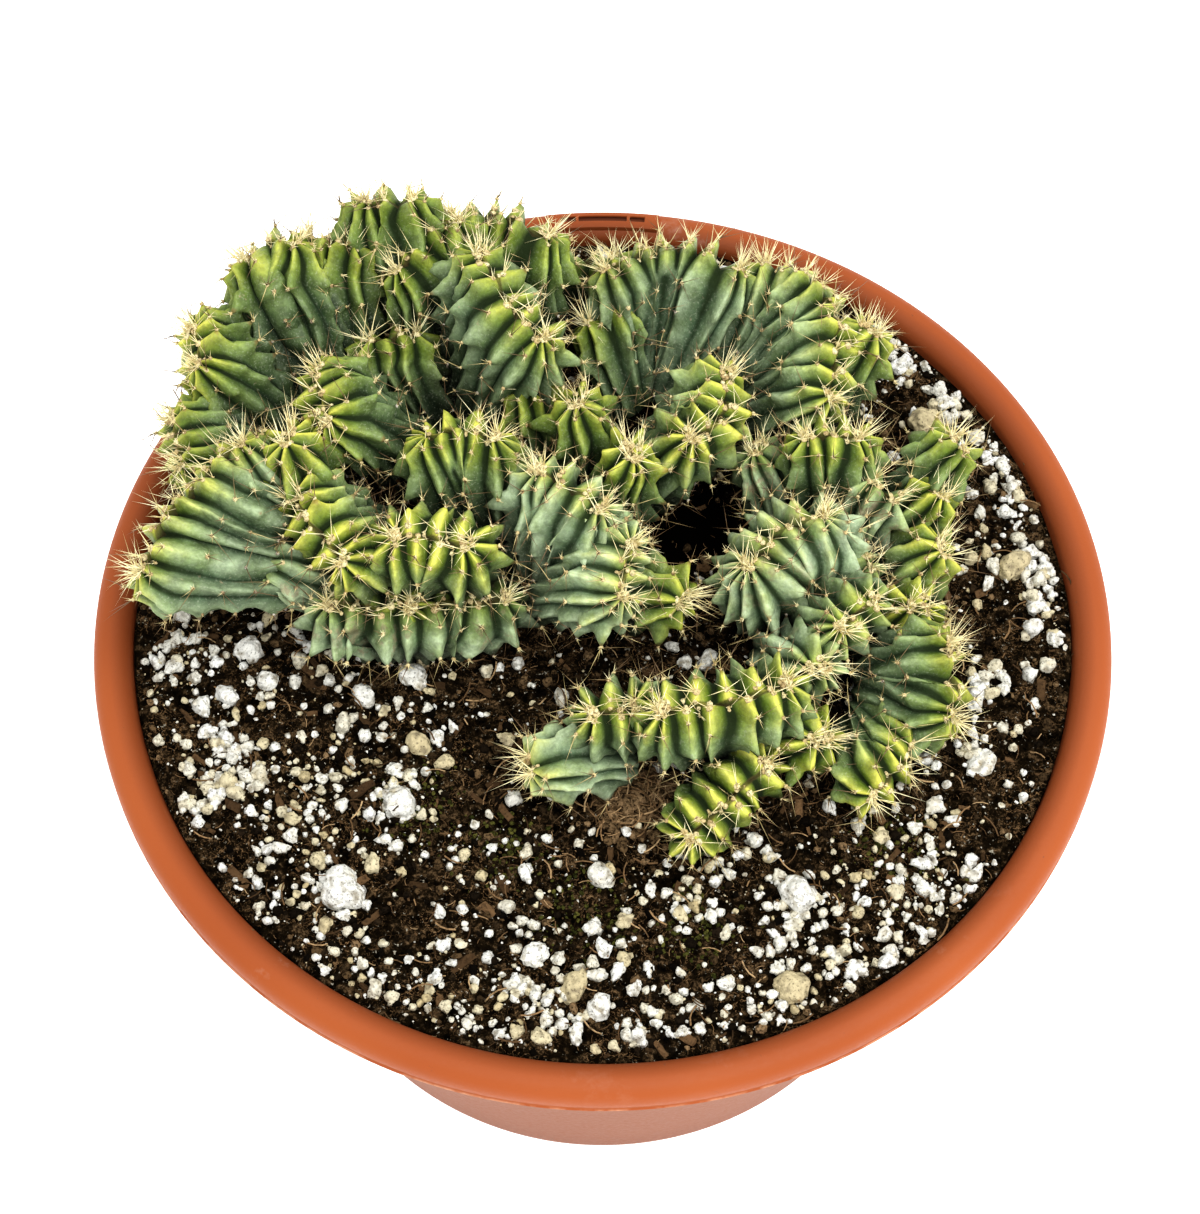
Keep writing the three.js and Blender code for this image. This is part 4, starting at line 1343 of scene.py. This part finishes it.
def cadGrains():  # the same grains as in the solids, by the same rule
    spread, least, more, apart = 112, 4, 2.6, 0.6
    kept = [(x, y, d, 0.92 if k in pumice else 0.2) for k, (x, y, d) in enumerate(lumps)]
    for i in range(900):  # far more tries than it takes
        r, a = spread * math.sqrt(chance(i, 21)), 2 * math.pi * chance(i, 22)
        d = least + more * chance(i, 23) ** 2
        x, y = r * math.cos(a), r * math.sin(a)
        if all(math.hypot(k[0] - x, k[1] - y) > apart * (k[2] + d) for k in kept):
            kept.append((x, y, d, 0.7 * chance(i, 24)))
        if len(kept) == soilSizes["cadLumps"]:
            return kept


soil = makeSoil()
soil.data.materials.append(peatMaterial())
settle(soil, "soil", slot="potting_mix")
print("soil bed made")

s = soilSizes
coirSpot = (*coirLump[:2], s["coirSpread"])
popcorn = ((0.75, 0.15, 0.10), (-0.35, 0.65, 0.15), (-0.25, -0.55, 0.35))
white, crumb, wood = perliteMaterial(), crumbMaterial(), woodMaterial()
heaps = []
for k, spot in enumerate(perliteHeaps):
    sizes = s["largeSizes"] if k < s["largeHeaps"] else s["heapSizes"]
    heaps.append(heap(s["heapGrains"], 60 + k, (*spot, s["heapSpread"]), sizes, (0.0, 0.85)))
grains = sprinkle(s["perlite"], 21, s["perliteSize"], crowding, apart=0.32, power=1.8)
grains = np.vstack([grains, *heaps])
clumped = grains[:, 2] > s["clumpSize"]
dust = sprinkle(s["dust"], 25, s["dustSize"], crowding)
mossRows = [heap(s["moss"], 40 + k, spot, s["mossSize"], (0.93, 1.0))
            for k, spot in enumerate(mossPatches)]
coirRows = heap(s["coir"][0], 50, coirSpot, s["coirCrumb"], (0.74, 0.9))
crumbRows = sprinkle(s["crumbs"], 22, s["crumbSize"], outside) * (1, 1, 1, 0.9)
crumbRows = np.vstack([crumbRows, *mossRows, coirRows])
fibreRows = np.vstack([sprinkle(s["fibres"], 24, s["fibreSize"], outside),
                       heap(s["coir"][1], 51, coirSpot, s["coirFibre"], (0.5, 0.95))])
fibreRows[:, 3] **= 0.7
chipRows = sprinkle(s["chips"], 23, s["chipSize"], outside) * (1, 1, 1, 0.55)
looseGoods = [
    ("perliteLumps", seated(cadGrains(), 0.5, 0.16, 0.0), grainTree("lumps", white, 3, True),
     {"Flatness": 0.7, "Roughness": 1.2, "Grain": 1.1, "Seed": 4}),
    ("perlite", seated(grains[~clumped], 0.5, 0.2, 0.0), grainTree("perlite", white, 2, True),
     {"Flatness": 0.8, "Roughness": 1.5, "Grain": 1.3, "Seed": 5}),
    ("perliteClumps", seated(grains[clumped], 0.38, 0.2, 0.0),
     grainTree("clumps", white, 2, True, popcorn),
     {"Flatness": 0.85, "Roughness": 1.4, "Grain": 1.3, "Seed": 10}),
    ("perliteDust", seated(dust, 0.5, 0.3, 0.0), grainTree("dust", white, 1),
     {"Flatness": 0.8, "Roughness": 1.1, "Grain": 1.0, "Seed": 9}),
    ("peatCrumbs", seated(crumbRows, 1.0, 0.25), grainTree("crumbs", crumb, 1),
     {"Flatness": 0.75, "Roughness": 1.3, "Grain": 0.9, "Seed": 6}),
    ("barkChips", seated(chipRows, 1.0, 0.15), chipTree(wood),
     {"Flatness": 0.3, "Roughness": 0.9, "Grain": 1.2, "Seed": 7}),
    ("fibres", seated(fibreRows, 1.0, 0.05), fibreTree(wood),
     {"Bend": 0.9, "Thickness": 0.045, "Seed": 8}),
]
for name, rows, tree, sizes in looseGoods:
    piece = pointPiece(name, rows, ("width", "tint"))
    tree.run(piece, **sizes)
    nodes = ["soil"] if name == "perliteLumps" else []
    settle(piece, *nodes, slot="potting_mix")
    print(name, len(rows), "pieces,", len(piece.data.polygons), "faces")


# Floor, light and camera, in metres and watts

studio = {
    "floorSize": 6.0,
    "floorGlow": 0.6,
    "world": 1.0,
    "keyPower": 11.0,
    "keySize": 1.0,
    "keyPlace": (0.3, -0.3, 1.15),
    "fillPower": 1.0,
    "fillPlace": (0.7, -0.9, 0.8),
    "fillSize": 1.0,
    "elevation": 60.2,  # degrees that the camera looks down
    "distance": 0.7464,  # metres from the rim's centre, along the view
    "aimShift": (0.0007, -0.0019),  # the rim's centre, right and up of the picture's middle
    "sensor": 36,
    "focalPixels": 3000.0,
    "photoHeight": 1214,
}


def makeFloor():
    size = studio["floorSize"] / 2 / mm
    corners = [(-size, -size, 0), (size, -size, 0), (size, size, 0), (-size, size, 0)]
    floor = meshObject("floor", corners, [[0, 1, 2, 3]])
    f = Finish("paleFloor", Roughness=0.9, Specular_IOR_Level=0.1,
               Emission_Strength=studio["floorGlow"])
    colour = f.mix((0.93, 0.93, 0.93), (0.90, 0.90, 0.90), f.noise(3))
    f.feed("Base Color", colour)
    f.feed("Emission Color", colour)
    floor.data.materials.append(f.material)


def areaLight(name, place, power, size, aim=(0, 0, 0.15)):
    lamp = bpy.data.lights.new(name, "AREA")
    lamp.energy, lamp.size = power, size
    holder = linked(bpy.data.objects.new(name, lamp))
    holder.location = place
    holder.rotation_euler = (Vector(aim) - Vector(place)).to_track_quat("-Z", "Y").to_euler()


def makeCamera():
    s = studio
    tilt = math.radians(s["elevation"])
    right = Vector((1, 0, 0))
    ahead = Vector((0, math.cos(tilt), -math.sin(tilt)))
    up = Vector((0, math.sin(tilt), math.cos(tilt)))
    rim = Vector((0, 0, bowlSizes["height"] * mm))
    eye = rim - right * s["aimShift"][0] - up * s["aimShift"][1] - ahead * s["distance"]
    lens = bpy.data.cameras.new("camera")
    lens.sensor_width = s["sensor"]
    lens.lens = s["focalPixels"] / s["photoHeight"] * s["sensor"]
    lens.clip_start = 0.05
    camera = linked(bpy.data.objects.new("camera", lens))
    camera.matrix_world = Matrix((
        (right.x, up.x, -ahead.x, eye.x), (right.y, up.y, -ahead.y, eye.y),
        (right.z, up.z, -ahead.z, eye.z), (0, 0, 0, 1)))
    bpy.context.scene.camera = camera


makeFloor()
areaLight("key", studio["keyPlace"], studio["keyPower"], studio["keySize"])
areaLight("fill", studio["fillPlace"], studio["fillPower"], studio["fillSize"])
makeCamera()
world = bpy.data.worlds.new("studio")
world.use_nodes = True
glow = world.node_tree.nodes["Background"].inputs
glow[0].default_value = (1, 1, 1, 1)
glow[1].default_value = studio["world"]
bpy.context.scene.world = world
bpy.context.scene.view_settings.view_transform = "Standard"
bpy.context.scene.view_settings.look = "Medium High Contrast"
print("studio ready")
